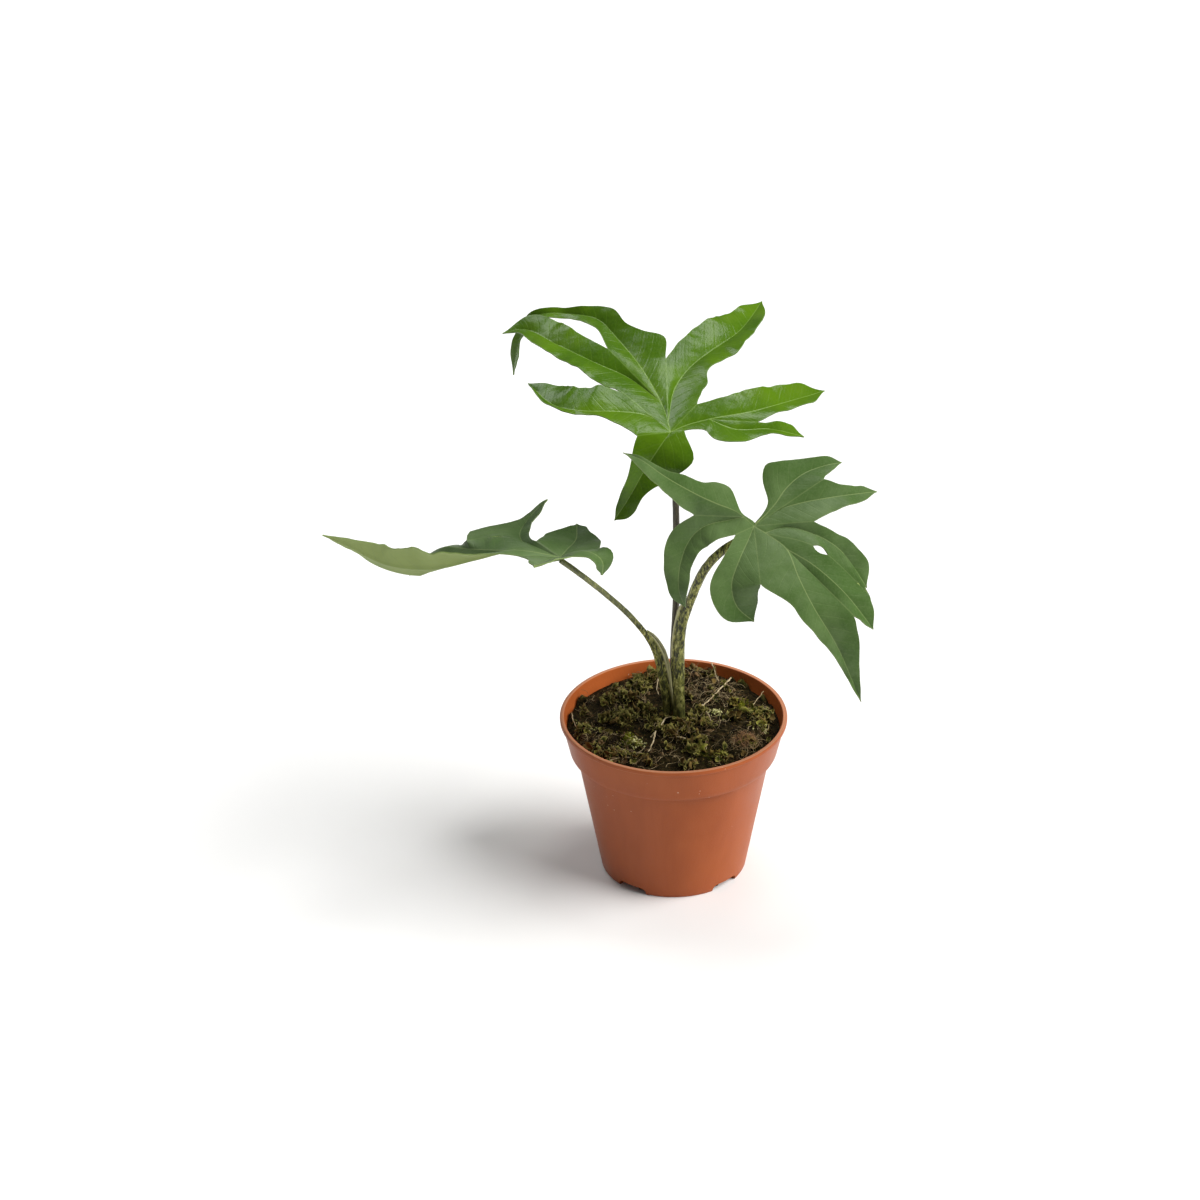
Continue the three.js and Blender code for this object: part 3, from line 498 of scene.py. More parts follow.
for s in range(SOIL_SECTORS):
    after = (s + 1) % SOIL_SECTORS
    layer_faces.append((edge_start + s, under + s, under + after, edge_start + after))
    layer_faces.append((under + s, centre, under + after))
soil_skin = bpy.data.meshes.new("soil_skin")
soil_skin.from_pydata([p * MM for p in soil_points], [], soil_faces)
layer = bpy.data.meshes.new("soil_top")
layer.from_pydata([p * MM for p in layer_points], [], layer_faces)
rises = {tuple(p): loose_rise(p.x, p.y) for p in soil_points}


def clamped(value):
    """The value kept between 0 and 1."""
    return min(1.0, max(0.0, value))


def clear_of_wall(p):
    """1 where a piece on the soil stays inside the pot, and 0 next to its wall."""
    return clamped((CLEAR_RADIUS - math.hypot(p.x, p.y)) / CLEAR_WIDTH)


def height_and_lit_side(p):
    """How high a place lies in its heap, raised a little towards the right as painted light from the lamp.
    """
    return clamped(rises[tuple(p)] / PILE_DEPTH_MM) * (1 + 0.006 * p.x)


def litter(p):
    """Much in the litter's patches, and some in a few broad drifts between them."""
    drift = clamped((noise.fractal(Vector((p.x, p.y, 17)) * 0.07, 0.9, 2.1, 3) + 0.1) / 0.5)
    return min(1.0, near_spots(LITTER, p.x, p.y) + 0.35 * drift) * clear_of_wall(p)


def moss(p):
    """Much on the lumps, and none where bark, a pale tuft or wool lies on top."""
    lumpy = clamped((rises[tuple(p)] - 0.7) / 2.2)
    bare = 0.8 * near_spots(LITTER[:4] + TUFTS, p.x, p.y)
    woolly = 2 * near_spots(WOOL, p.x, p.y)
    return max(0.0, lumpy - bare - woolly) * clear_of_wall(p)


def full_of(spots):
    """How full each place is of what lies in those spots."""
    return lambda p: min(1.0, near_spots(spots, p.x, p.y)) * clear_of_wall(p)


amounts = {
    "raised": height_and_lit_side, "litter": litter, "moss": moss,
    "wool": full_of(WOOL), "fresh": full_of(FRESH_MOSS), "tuft": full_of(TUFTS),
}
for label, amount in amounts.items():
    values = [amount(p) for p in soil_points]
    soil_skin.attributes.new(label, "FLOAT", "POINT").data.foreach_set("value", values)
    values += [0.0] * (len(layer_points) - len(soil_points))
    layer.attributes.new(label, "FLOAT", "POINT").data.foreach_set("value", values)


def reading(tree, label):
    """An amount that the mesh holds under that name."""
    return add(tree, "ShaderNodeAttribute", attribute_name=label).outputs["Fac"]


soil_look, shader, tree, place = surface("soil_look", roughness=0.8, shine=0.08)
peat = grain(tree, place, 420, 5, 0.65, 0.5)
color = mixed(tree, stepped(tree, peat, 0.35, 0.7), (0.003, 0.0025, 0.001), (0.03, 0.022, 0.008))
leafy = mixed(tree, stepped(tree, peat, 0.4, 0.68), (0.022, 0.024, 0.004), (0.18, 0.155, 0.036))
# Low places are painted near black and high ones leafy green: partly the moss on the lumps, partly painted
# shade in the hollows, and painted light making the right side paler
color = mixed(tree, stepped(tree, reading(tree, "raised"), 0.3, 0.9), color, leafy)
color = mixed(tree, stepped(tree, reading(tree, "fresh"), 0.3, 0.9, 0, 0.8), color, (0.15, 0.16, 0.012))
bark_bits = grain(tree, place, 700, 4, 0.7, 0.8)
color = mixed(tree, stepped(tree, bark_bits, 0.55, 0.7, 0, 0.7), color, (0.16, 0.088, 0.036))
coat(tree, shader, color, peat, depth_mm=0.8)
finish_piece("soil_top", layer, soil_look, "soil", crease=180)
fill.materials.clear()
fill.materials.append(soil_look)


# What lies and grows on the soil: ruffled moss fronds, fresh shoots, pale tufts, bark crumbs and
# dry fibres. Each kind is strewn over the soil's skin at random from one small template.

PER_SQUARE_MM = 1e6


def strewn(name, template, material, where, density, seed, smallest, largest, lean, sink_mm):
    """A template strewn over the soil's skin, so many to a square mm where the amount laid on
    it under that name is 1, each leaning at random and sunk a little."""
    pattern = bpy.data.objects.new("template", template)
    scene.collection.objects.link(pattern)
    tree = bpy.data.node_groups.new(name, "GeometryNodeTree")
    tree.interface.new_socket("Skin", in_out="INPUT", socket_type="NodeSocketGeometry")
    sizes = {
        "Density": density * PER_SQUARE_MM, "Smallest": smallest, "Largest": largest,
        "Lean": lean, "Sink": sink_mm * MM,
    }
    keys = {}
    for label in sizes:
        socket = tree.interface.new_socket(label, in_out="INPUT", socket_type="NodeSocketFloat")
        keys[label] = socket.identifier
    tree.interface.new_socket("Strewn", in_out="OUTPUT", socket_type="NodeSocketGeometry")

    def step(kind, inputs, **settings):
        return add(tree, kind, inputs, **settings).outputs[0]

    given = add(tree, "NodeGroupInput").outputs
    amount = step("GeometryNodeInputNamedAttribute", {"Name": where}, data_type="FLOAT")
    spread = step("ShaderNodeMath", {0: amount, 1: given["Density"]}, operation="MULTIPLY")
    spots = add(tree, "GeometryNodeDistributePointsOnFaces", {
        "Mesh": given["Skin"], "Density": spread, "Seed": seed}, distribute_method="RANDOM").outputs
    turn = step("FunctionNodeRandomValue", {
        0: (-1, -1, -math.pi), 1: (1, 1, math.pi), "Seed": seed + 1}, data_type="FLOAT_VECTOR")
    tilt = step("ShaderNodeCombineXYZ", {0: given["Lean"], 1: given["Lean"], 2: 1.0})
    turn = step("ShaderNodeVectorMath", {0: turn, 1: tilt}, operation="MULTIPLY")
    facing = step("FunctionNodeRotateRotation", {0: spots["Rotation"], 1: turn}, rotation_space="LOCAL")
    size = add(tree, "FunctionNodeRandomValue", {
        2: given["Smallest"], 3: given["Largest"], "Seed": seed + 2}, data_type="FLOAT").outputs[1]
    down = step("ShaderNodeVectorMath", {0: spots["Normal"], "Scale": given["Sink"]}, operation="SCALE")
    placed = step("GeometryNodeSetPosition", {"Geometry": spots["Points"], "Offset": down})
    shape = add(tree, "GeometryNodeObjectInfo", {"Object": pattern}).outputs["Geometry"]
    copies = step("GeometryNodeInstanceOnPoints", {
        "Points": placed, "Instance": shape, "Rotation": facing, "Scale": size})
    tone = add(tree, "FunctionNodeRandomValue", {
        2: 0.0, 3: 1.0, "Seed": seed + 3}, data_type="FLOAT").outputs[1]
    toned = step("GeometryNodeStoreNamedAttribute", {
        "Geometry": copies, "Name": "tone", "Value": tone}, data_type="FLOAT", domain="INSTANCE")
    solid = step("GeometryNodeRealizeInstances", {"Geometry": toned})
    painted = step("GeometryNodeSetMaterial", {"Geometry": solid, "Material": material})
    tree.links.new(painted, add(tree, "NodeGroupOutput").inputs["Strewn"])

    ground = bpy.data.objects.new("ground", soil_skin)
    scene.collection.objects.link(ground)
    strew = ground.modifiers.new(name, "NODES")
    strew.node_group = tree
    for label, value in sizes.items():
        strew[keys[label]] = float(value)
    result = evaluated_mesh(ground)
    bpy.data.objects.remove(ground)
    bpy.data.objects.remove(pattern)
    result.name = name
    finish_piece(name, result, material, "soil", crease=60)


def closed_mesh(name, points, faces):
    """A mesh in metres from points in mm, with every face turned outwards."""
    mesh = bpy.data.meshes.new(name)
    mesh.from_pydata([p * MM for p in points], [], faces)
    work = bmesh.new()
    work.from_mesh(mesh)
    bmesh.ops.recalc_face_normals(work, faces=work.faces)
    work.to_mesh(mesh)
    work.free()
    return mesh


def moss_frond():
    """A thin ruffled leaf 1 mm long that curls upwards, to be scaled in mm."""
    rows, columns, thick = 5, 5, 0.05
    points, lit_tips = [], []
    for side in (0.5, -0.5):
        for r in range(rows):
            u = r / (rows - 1)
            half = 0.36 * math.sin(math.pi * (0.12 + 0.76 * u))
            for c in range(columns):
                v = 2 * c / (columns - 1) - 1
                ruffle = 0.2 * abs(v) * math.sin(9 * u + 2.4 * v) + 0.14 * v * v
                points.append(Vector((half * v, u - 0.3, 0.5 * u * u + ruffle + side * thick)))
                lit_tips.append(max(u, abs(v)) ** 2)
    count = rows * columns
    faces = []
    for r in range(rows - 1):
        for c in range(columns - 1):
            a = r * columns + c
            quad = (a, a + 1, a + columns + 1, a + columns)
            faces += [quad, tuple(i + count for i in reversed(quad))]
    border = list(range(columns)) + [r * columns + columns - 1 for r in range(1, rows)]
    border += [count - 2 - c for c in range(columns - 1)] + [r * columns for r in range(rows - 2, 0, -1)]
    for a, b in zip(border, border[1:] + border[:1]):
        faces.append((a, b, b + count, a + count))
    mesh = closed_mesh("moss_frond", points, faces)
    # painted light: how near each point lies to the frond's tip or edge, where it is painted paler
    mesh.attributes.new("tip", "FLOAT", "POINT").data.foreach_set("value", lit_tips)
    return mesh


def moss_shoot():
    """A 1 mm high curved shoot with five pointed leaflets, to be scaled in mm."""
    points, faces = [], []
    for leaflet in range(5):
        angle = leaflet * 2.4
        low = 0.12 + 0.15 * leaflet
        out = Vector((math.cos(angle), math.sin(angle), 0.0))
        across = Vector((-out.y, out.x, 0.0)) * 0.15
        reach = out * (0.42 - 0.05 * leaflet)
        root = Vector((0, 0, low - 0.12))
        tip = reach + Vector((0, 0, low + 0.34))
        middle = reach * 0.55 + Vector((0, 0, low + 0.06))
        ridge = middle + Vector((0, 0, 0.09)) - out * 0.03
        start = len(points)
        points += [root, middle + across, tip, middle - across, ridge]
        for quarter in ((0, 1, 4), (1, 2, 4), (2, 3, 4), (3, 0, 4), (1, 0, 3, 2)):
            faces.append(tuple(start + corner for corner in quarter))
    return closed_mesh("moss_shoot", points, faces)


def lumpy_ball(name, subdivisions, lumpiness, flatness):
    """A lumpy ball about 1 mm across."""
    work = bmesh.new()
    bmesh.ops.create_icosphere(work, subdivisions=subdivisions, radius=0.5)
    for vertex in work.verts:
        vertex.co *= 1 + lumpiness * noise.noise(vertex.co * 2.6 + Vector((4.0, 1.0, 7.0)))
        vertex.co.z *= flatness
        vertex.co *= MM
    mesh = bpy.data.meshes.new(name)
    work.to_mesh(mesh)
    work.free()
    return mesh


def tube_faces(start, rings, sides):
    """The faces of a closed tube whose rings of points begin at an index."""
    last = start + (rings - 1) * sides
    faces = [tuple(range(start, start + sides)), tuple(range(last, last + sides))]
    for low in range(start, last, sides):
        for s in range(sides):
            after = (s + 1) % sides
            faces.append((low + s, low + after, low + sides + after, low + sides + s))
    return faces


def dry_fibre():
    """A bent fibre 1 mm long that lies on the ground."""
    rings, sides, thick = 9, 4, 0.015
    points = []
    for r in range(rings):
        t = r / (rings - 1)
        lift = 0.1 * math.sin(math.pi * t) + 0.04 * math.sin(9 * t)
        centre = Vector((t - 0.5, 0.12 * math.sin(5 * t), lift))
        for n in range(sides):
            angle = math.tau * n / sides
            points.append(centre + Vector((0, math.cos(angle), math.sin(angle))) * thick * (1 - 0.6 * t))
    return closed_mesh("dry_fibre", points, tube_faces(0, rings, sides))


moss_look, shader, tree, place = surface("moss_look", roughness=0.55, shine=0.12)
tone = reading(tree, "tone")
patch = maths(tree, "ADD", grain(tree, place, 240, 3, 0.6), maths(tree, "MULTIPLY", tone, 0.4))
color = mixed(tree, stepped(tree, patch, 0.5, 0.95), (0.014, 0.019, 0.003), (0.15, 0.135, 0.024))
bright = mixed(tree, stepped(tree, patch, 0.45, 0.9), (0.09, 0.115, 0.006), (0.3, 0.31, 0.03))
freshness = maths(tree, "ADD", reading(tree, "fresh"), maths(tree, "MULTIPLY", tone, 0.3))
color = mixed(tree, stepped(tree, freshness, 0.4, 1.05), color, bright)
# painted light: frond tips and edges are painted a paler yellow-green for the light they catch
color = mixed(tree, stepped(tree, reading(tree, "tip"), 0.4, 1.0, 0, 0.5), color, (0.36, 0.31, 0.1))
color = mixed(tree, stepped(tree, tone, 0.66, 0.76, 0, 0.8), color, (0.13, 0.078, 0.028))
coat(tree, shader, color, grain(tree, place, 1500, 2, 0.5), depth_mm=0.12)

tuft_look, shader, tree, place = surface("tuft_look", roughness=0.6, shine=0.3)
tuft_grain = grain(tree, place, 1300, 3, 0.6)
color = mixed(tree, reading(tree, "tone"), (0.17, 0.18, 0.04), (0.62, 0.58, 0.3))
color = mixed(tree, stepped(tree, tuft_grain, 0.4, 0.65, 0, 0.4), color, (0.2, 0.2, 0.06))
coat(tree, shader, color, tuft_grain, depth_mm=0.15)

crumb_look, shader, tree, place = surface("crumb_look", roughness=0.75, shine=0.12)
tone = stepped(tree, reading(tree, "tone"), 0.3, 0.95)
color = mixed(tree, tone, (0.018, 0.012, 0.006), (0.17, 0.105, 0.05))
crumb_grain = grain(tree, place, 900, 4, 0.6, 0.4, (1, 0.4, 1))
color = mixed(tree, stepped(tree, crumb_grain, 0.35, 0.7), color, (0.02, 0.013, 0.008))
coat(tree, shader, color, crumb_grain, depth_mm=0.3)

fibre_look, shader, tree, place = surface("fibre_look", roughness=0.6, shine=0.3)
color = mixed(tree, reading(tree, "tone"), (0.13, 0.09, 0.035), (0.5, 0.39, 0.23))
color = mixed(tree, stepped(tree, reading(tree, "wool"), 0.2, 0.7, 0, 0.8), color, (0.36, 0.18, 0.085))
fibre_streaks = grain(tree, place, 700, 3, 0.6)
color = mixed(tree, stepped(tree, fibre_streaks, 0.4, 0.7, 0, 0.4), color, (0.1, 0.065, 0.03))
coat(tree, shader, color, fibre_streaks, depth_mm=0.05)

granule = lumpy_ball("granule", subdivisions=1, lumpiness=0.5, flatness=0.9)
bark_crumb = lumpy_ball("bark_crumb", subdivisions=2, lumpiness=1.2, flatness=0.55)
# For each kind: its template, look and amount, how many to a square mm, its seed, its smallest
# and largest size in mm, its lean, and how far it sinks in mm
strewn_kinds = {
    "fronds": (moss_frond(), moss_look, "moss", 0.95, 11, 1.6, 5.2, 1.5, 0),
    "shoots": (moss_shoot(), moss_look, "fresh", 0.9, 15, 1.1, 2.3, 0.7, -0.2),
    "tufts": (granule, tuft_look, "tuft", 1.5, 51, 0.6, 1.5, 0.8, 0.5),
    "crumbs": (bark_crumb, crumb_look, "litter", 0.16, 21, 0.8, 3.6, 0.8, 0.1),
    "fibres": (dry_fibre(), fibre_look, "litter", 0.26, 31, 3, 10, 0.8, 1.0),
    "wool": (dry_fibre(), fibre_look, "wool", 1.8, 41, 2.5, 5.5, 1.2, 1.0),
}
for name, kind in strewn_kinds.items():
    strewn(name, *kind)


# Bare roots and dry sticks that lie across the lumps, each with its places in mm, its lift above
# the loose soil at each place, and its radius.

ROOTS = [
    ([(31, 41, 3.4), (24, 28, 2.6), (16, 13, 2.6), (8, -1, 0.8)], 0.42),
    ([(20.5, 52, 5.0), (22.5, 43, 3.6), (25.5, 32, 2.0)], 0.26),
    ([(15, 14, 2.4), (18, 4, 2.6), (22, -6, 1.0)], 0.45),
    ([(-12, -16, 0.3), (-7, -9, 2.2), (-4, -3.5, 3.0), (-0.5, -2.6, 3.2), (4, -3, 1.5)], 0.42),
    ([(-9.5, -17, 4.0), (-11, -25, 3.0), (-13, -33, 1.2)], 0.45),
    ([(-35, -39, 0.6), (-29, -37, 1.4), (-21, -37.5, 1.6), (-14, -40, 0.5)], 0.32),
    ([(9, -19, 1.0), (3, -20, 2.2), (-3, -19, 0.8)], 0.34),
    ([(16, -15, 2.2), (16.5, -21, 1.8), (17, -28, 0.6)], 0.26),
    ([(48, 28, 4.6), (45, 23, 3.0), (42, 17, 1.4)], 0.24),
    ([(-54, 5, 4.2), (-52.5, -1, 2.2), (-50, -8, 0.8)], 0.3),
    ([(-8, 38, 3.6), (-9, 32, 3.0), (-8, 26, 1.0)], 0.3),
]
ROOT_SIDES = 7
PILE_SHARE = 0.6


def smooth_line(stations):
    """Close points on a smooth curve through the stations."""
    through = [Vector(s) for s in stations]
    ends = [2 * through[0] - through[1], *through, 2 * through[-1] - through[-2]]
    steps = 24
    line = []
    for a, b, c, d in zip(ends, ends[1:], ends[2:], ends[3:]):
        before, within, after = ((v - u).length ** 0.5 for u, v in ((a, b), (b, c), (c, d)))
        leave = within * ((b - a) / before - (c - a) / (before + within) + (c - b) / within)
        arrive = within * ((c - b) / within - (d - b) / (within + after) + (d - c) / after)
        bend, twist = 3 * (c - b) - 2 * leave - arrive, 2 * (b - c) + leave + arrive
        for step in range(steps):
            t = step / steps
            line.append(b + t * leave + t * t * bend + t ** 3 * twist)
    line.append(through[-1])
    return line


def flat_part(vector, axis):
    """The direction of the part of a vector that is square to an axis."""
    return (vector - axis * vector.dot(axis)).normalized()


root_points, root_faces = [], []
for places, radius in ROOTS:
    stations = []
    for x, y, lift in places:
        stations.append((x, y, fill_height(x, y) + near_spots(MOUNDS, x, y) * PILE_SHARE + lift))
    line = smooth_line(stations)[::3]
    root_faces += tube_faces(len(root_points), len(line), ROOT_SIDES)
    for r, middle in enumerate(line):
        along = (line[min(r + 1, len(line) - 1)] - line[max(r - 1, 0)]).normalized()
        side = flat_part(Vector((0, 0, 1)), along)
        other = side.cross(along)
        wobble = Vector((noise.noise(middle * 0.5), noise.noise(middle * 0.5 + Vector((7, 3, 1))), 0)) * 0.5
        thick = radius * (1 - 0.5 * r / len(line)) * (1 + 0.3 * noise.noise(middle * 0.9))
        for n in range(ROOT_SIDES):
            angle = math.tau * n / ROOT_SIDES
            root_points.append(middle + wobble + (side * math.cos(angle) + other * math.sin(angle)) * thick)
root_look, shader, tree, place = surface("root_look", roughness=0.6, shine=0.3)
root_grain = grain(tree, place, 500, 3, 0.6)
color = mixed(tree, stepped(tree, root_grain, 0.35, 0.65), (0.26, 0.19, 0.1), (0.56, 0.46, 0.3))
coat(tree, shader, color, root_grain, depth_mm=0.1)
finish_piece("roots", closed_mesh("roots", root_points, root_faces), root_look, "soil")


# The rhizome: the short fleshy stem under the surface that the stalks grow from, in dry papery
# brown with darker rings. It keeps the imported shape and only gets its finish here.

rhizome_look, shader, tree, place = surface("rhizome_look", roughness=0.8)
rings = grain(tree, place, 180, 3, 0.5, 0.4, (0.3, 0.3, 2.5))
color = mixed(tree, stepped(tree, rings, 0.35, 0.65), (0.1, 0.065, 0.03), (0.3, 0.22, 0.11))
coat(tree, shader, color, rings, depth_mm=0.4)
rhizome_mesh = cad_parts["rhizome"].data
rhizome_mesh.materials.clear()
rhizome_mesh.materials.append(rhizome_look)


# The stalks: three fleshy petioles from one crown, grooved at the foot. The rear one is smooth
# and brown. The others are mottled yellow-green and near black, with a thin pale-edged sheath.

STALK_FOOT = 77.3
STALK_SIDES = 28
STALK_RINGS = 150
WING_COLUMNS = 7
WING_ROOT = 0.4
WING_FLARE = 0.5
WING_THICKNESS = 0.7
DARK_FOOT = (88 * MM, 118 * MM)
PALE_LEFT = (-24 * MM, -14 * MM)


def spaced(line, count):
    """The line's length, and count + 1 points at even distances along it."""
    marks = [0.0]
    for a, b in zip(line, line[1:]):
        marks.append(marks[-1] + (b - a).length)
    points = []
    for i in range(count + 1):
        mark = marks[-1] * i / count
        k = min(max(bisect.bisect_right(marks, mark) - 1, 0), len(line) - 2)
        share = (mark - marks[k]) / max(marks[k + 1] - marks[k], 1e-9)
        points.append(line[k].lerp(line[k + 1], min(share, 1.0)))
    return marks[-1], points


def between(values, t):
    """The value at t of a list of values at even steps."""
    place = t * (len(values) - 1)
    low = min(int(place), len(values) - 2)
    return values[low] + (values[low + 1] - values[low]) * (place - low)


def stalk(route, widths, depths, grooves, inner, knobble):
    """A closed stalk along its route: its centres, points and faces, and a plain margin for each
    point. It is as wide and deep as the lists say, and grooved on its inner side."""
    _, centres = spaced(smooth_line(route), STALK_RINGS)
    points = []
    for r, centre in enumerate(centres):
        t = r / STALK_RINGS
        tangent = (centres[min(r + 1, STALK_RINGS)] - centres[max(r - 1, 0)]).normalized()
        to_inner = flat_part(Vector(inner), tangent)
        across = to_inner.cross(tangent)
        for s in range(STALK_SIDES):
            angle = math.tau * s / STALK_SIDES
            turned_in = max(0.0, math.cos(angle)) ** 4
            round_it = Vector((math.cos(angle), math.sin(angle), 0)) * 1.3
            rough = 1 + knobble * noise.noise(centre * 0.35 + round_it)
            depth = between(depths, t) / 2 * math.cos(angle) * rough - between(grooves, t) * turned_in
            width = between(widths, t) / 2 * math.sin(angle) * rough
            points.append(centre + to_inner * depth + across * width)
    return centres, points, tube_faces(0, STALK_RINGS + 1, STALK_SIDES), [0.0] * len(points)


def sheath(stem, inner, depths, starts, ends, rises, offset, share):
    """One thin wing of the sheath on a stalk's inner side, raised by a share of `rises` mm."""
    centres, points, faces, margins = stem
    first_row, last_row = int(starts * STALK_RINGS), int(ends * STALK_RINGS)
    start = len(points)
    width = 2 * WING_COLUMNS
    for r in range(first_row, last_row + 1):
        t = (r - first_row) / (last_row - first_row)
        tangent = (centres[r + 1] - centres[r - 1]).normalized()
        to_inner = flat_part(Vector(inner), tangent)
        across = to_inner.cross(tangent)
        half = between(depths, r / STALK_RINGS) / 2
        rise = share * between(rises, t) * min(1.0, (1 - t) / 0.06) ** 0.5
        for column in range(WING_COLUMNS):
            u = column / (WING_COLUMNS - 1)
            out = half * WING_ROOT + (half * (1 - WING_ROOT) + rise) * u
            middle = centres[r] + to_inner * out + across * offset * (1 + WING_FLARE * u * u)
            thick = WING_THICKNESS * (1 - 0.45 * u)
            for side in (-1, 1):
                points.append(middle + across * side * thick / 2)
                margins.append(max(0.0, (u - 0.45) / 0.55) if rise > 0.3 else 0.0)
    for r in range(last_row - first_row):
        low = start + r * width
        for column in range(WING_COLUMNS - 1):
            for side in (0, 1):
                a = low + 2 * column + side
                faces.append((a, a + 2, a + width + 2, a + width))
        for column in (0, WING_COLUMNS - 1):
            a = low + 2 * column
            faces.append((a, a + 1, a + width + 1, a + width))
    for r in (0, last_row - first_row):
        for column in range(WING_COLUMNS - 1):
            a = start + r * width + 2 * column
            faces.append((a, a + 1, a + 3, a + 2))


def stalk_piece(name, stem, material, slot, node):
    """The finished stalk, with its sheath's pale margins laid on it."""
    _, points, faces, margins = stem
    mesh = closed_mesh(name, points, faces)
    mesh.attributes.new("pale_margin", "FLOAT", "POINT").data.foreach_set("value", margins)
    finish_piece(name, mesh, material, slot, node)


top_look, shader, tree, place = surface("petiole_top", roughness=0.4, shine=0.4)
streaks = grain(tree, place, 700, 4, 0.6, 0.3, (1, 1, 0.12))
color = mixed(tree, stepped(tree, streaks, 0.35, 0.68), (0.026, 0.02, 0.014), (0.1, 0.085, 0.05))
coat(tree, shader, color, streaks, depth_mm=0.12)
top_stem = stalk(
    [(1.6, 8, STALK_FOOT), (0.7, 8.5, 100), (0.1, 9, 120), (1.3, 11, 153), (1.4, 13, 188),
     (1, 13.5, 212), (-0.3, 13, 236), (-1.5, 12.4, 248.6)],
    widths=[5, 4.2, 3.8, 3.6, 3.6, 3.4, 3.4], depths=[4.4, 4, 3.8, 3.6, 3.6, 3.4, 3.4],
    grooves=[0.5, 0.4, 0, 0, 0, 0, 0], inner=(0, -1, 0), knobble=0.04)
stalk_piece("petiole_top_stalk", top_stem, top_look, "petiole_top", "petiole_top")

mottled_look, shader, tree, place = surface("petiole_mottled", roughness=0.38, shine=0.4)
blotches = grain(tree, place, 720, 3, 0.55, 0.6, (1, 1, 0.38))
fine_specks = grain(tree, place, 1500, 2, 0.5, 0.3, (1, 1, 0.5))
mottle = maths(tree, "ADD", blotches, maths(tree, "MULTIPLY", fine_specks, 0.4))
color = mixed(tree, stepped(tree, mottle, 0.58, 0.76), (0.03, 0.034, 0.009), (0.23, 0.235, 0.052))
color = mixed(tree, stepped(tree, mottle, 0.75, 0.88), color, (0.58, 0.56, 0.2))
spot = add(tree, "ShaderNodeSeparateXYZ", {"Vector": place}).outputs
color = mixed(tree, stepped(tree, spot["Z"], *DARK_FOOT, 0.72, 0), color, (0.028, 0.03, 0.011))
color = mixed(tree, stepped(tree, spot["X"], *PALE_LEFT, 0.7, 0), color, (0.15, 0.165, 0.082))
pale_margin = stepped(tree, reading(tree, "pale_margin"), 0.1, 0.8, 0, 0.95)
color = mixed(tree, pale_margin, color, (0.6, 0.58, 0.32))
coat(tree, shader, color, mottle, depth_mm=0.12)

right_depths = [7, 6.8, 6.4, 5.2, 4.9, 4.6, 3.8]
right_inner = (-1, 0.5, 0.3)
right_stem = stalk(
    [(2.9, 0.3, STALK_FOOT), (2.6, -0.5, 100), (2.6, -1, 125), (4.2, -2, 144), (9.5, -4, 163),
     (17, -8, 182.5), (26, -10.5, 194), (35.8, -9.2, 200.4), (40.2, -8.6, 205)],
    widths=[5.6, 6.2, 6.2, 5.2, 4.9, 4.6, 4], depths=right_depths,
    grooves=[0.5, 0.7, 0.7, 0.3, 0, 0, 0], inner=right_inner, knobble=0.06)
for offset, share in ((-1.2, 0.5), (1.0, 1)):
    sheath(
        right_stem, right_inner, right_depths, starts=0.28, ends=0.6,
        rises=[0, 0.9, 1.6, 2.6, 0.8], offset=offset, share=share)
stalk_piece("petiole_right_stalk", right_stem, mottled_look, "petiole_mottled", "petiole_right")

left_depths = [5.4, 5, 4.2, 3.2, 3, 3, 3]
left_inner = (1, 0.2, 0.3)
left_stem = stalk(
    [(-2.6, 3.2, STALK_FOOT), (-3.1, 3.2, 92), (-6.2, 1.4, 114), (-10.6, 0, 131.5),
     (-20.6, -3, 148.5), (-34, -8, 165.5), (-49.5, -13.5, 182.5), (-57.6, -15.6, 190.2)],
    widths=[4.6, 5.4, 5, 3.4, 3.1, 3, 3], depths=left_depths,
    grooves=[0.5, 0.7, 0.7, 0.2, 0, 0, 0], inner=left_inner, knobble=0.06)
for offset, share in ((1.1, 0.5), (-0.8, 1)):
    sheath(
        left_stem, left_inner, left_depths, starts=0.02, ends=0.49,
        rises=[1.5, 1.5, 1.4, 1.6, 2.5, 3.3, 3.2, 2.3, 0.8], offset=offset, share=share)
stalk_piece("petiole_left_stalk", left_stem, mottled_look, "petiole_mottled", "petiole_left")


# The leaves: thin deeply lobed blades, each one a ring of lobes round the end of its stalk.
# Ribs are sunk above and stand proud below, and the blade swells between the side veins. Two
# blades have a small hole in the web between two lobes.

ROW_MM = 7
FINE_ROWS = 5
RIB_HALF_WIDTH = 1.3
RIB_DEPTH = 1.2
BLADE_ARCH = 0.03
BLADE_THICKNESS = 0.6
EDGE_LIFT = math.tan(math.radians(9))
VEIN_SPACING = 7.5
VEIN_LEAN = 0.75
VEIN_CURVE = 0.012
SWELL = 0.08
FOLD_FROM = 25
COLUMNS = 9
FAINTEST_RIB = 0.15
WAVE_MM = 0.8
WAVE_PER_ROW = 1.9
WIDTH_RIPPLE = 0.07
EDGE_RIPPLE_MM = 0.9
SMOOTHED_ROWS = 4
EDGE_SHADE = 0.6


def catmull(values, t):
    """The height at t of an even smooth curve through the values."""
    place = t * (len(values) - 1)
    i = min(int(place), len(values) - 2)
    t = place - i
    a, b, c, d = (values[min(max(k, 0), len(values) - 1)] for k in (i - 1, i, i + 1, i + 2))
    leave, arrive = (c - a) / 2, (d - b) / 2
    bend, twist = 3 * c - 3 * b - 2 * leave - arrive, 2 * b - 2 * c + leave + arrive
    return twist * t ** 3 + bend * t * t + leave * t + b


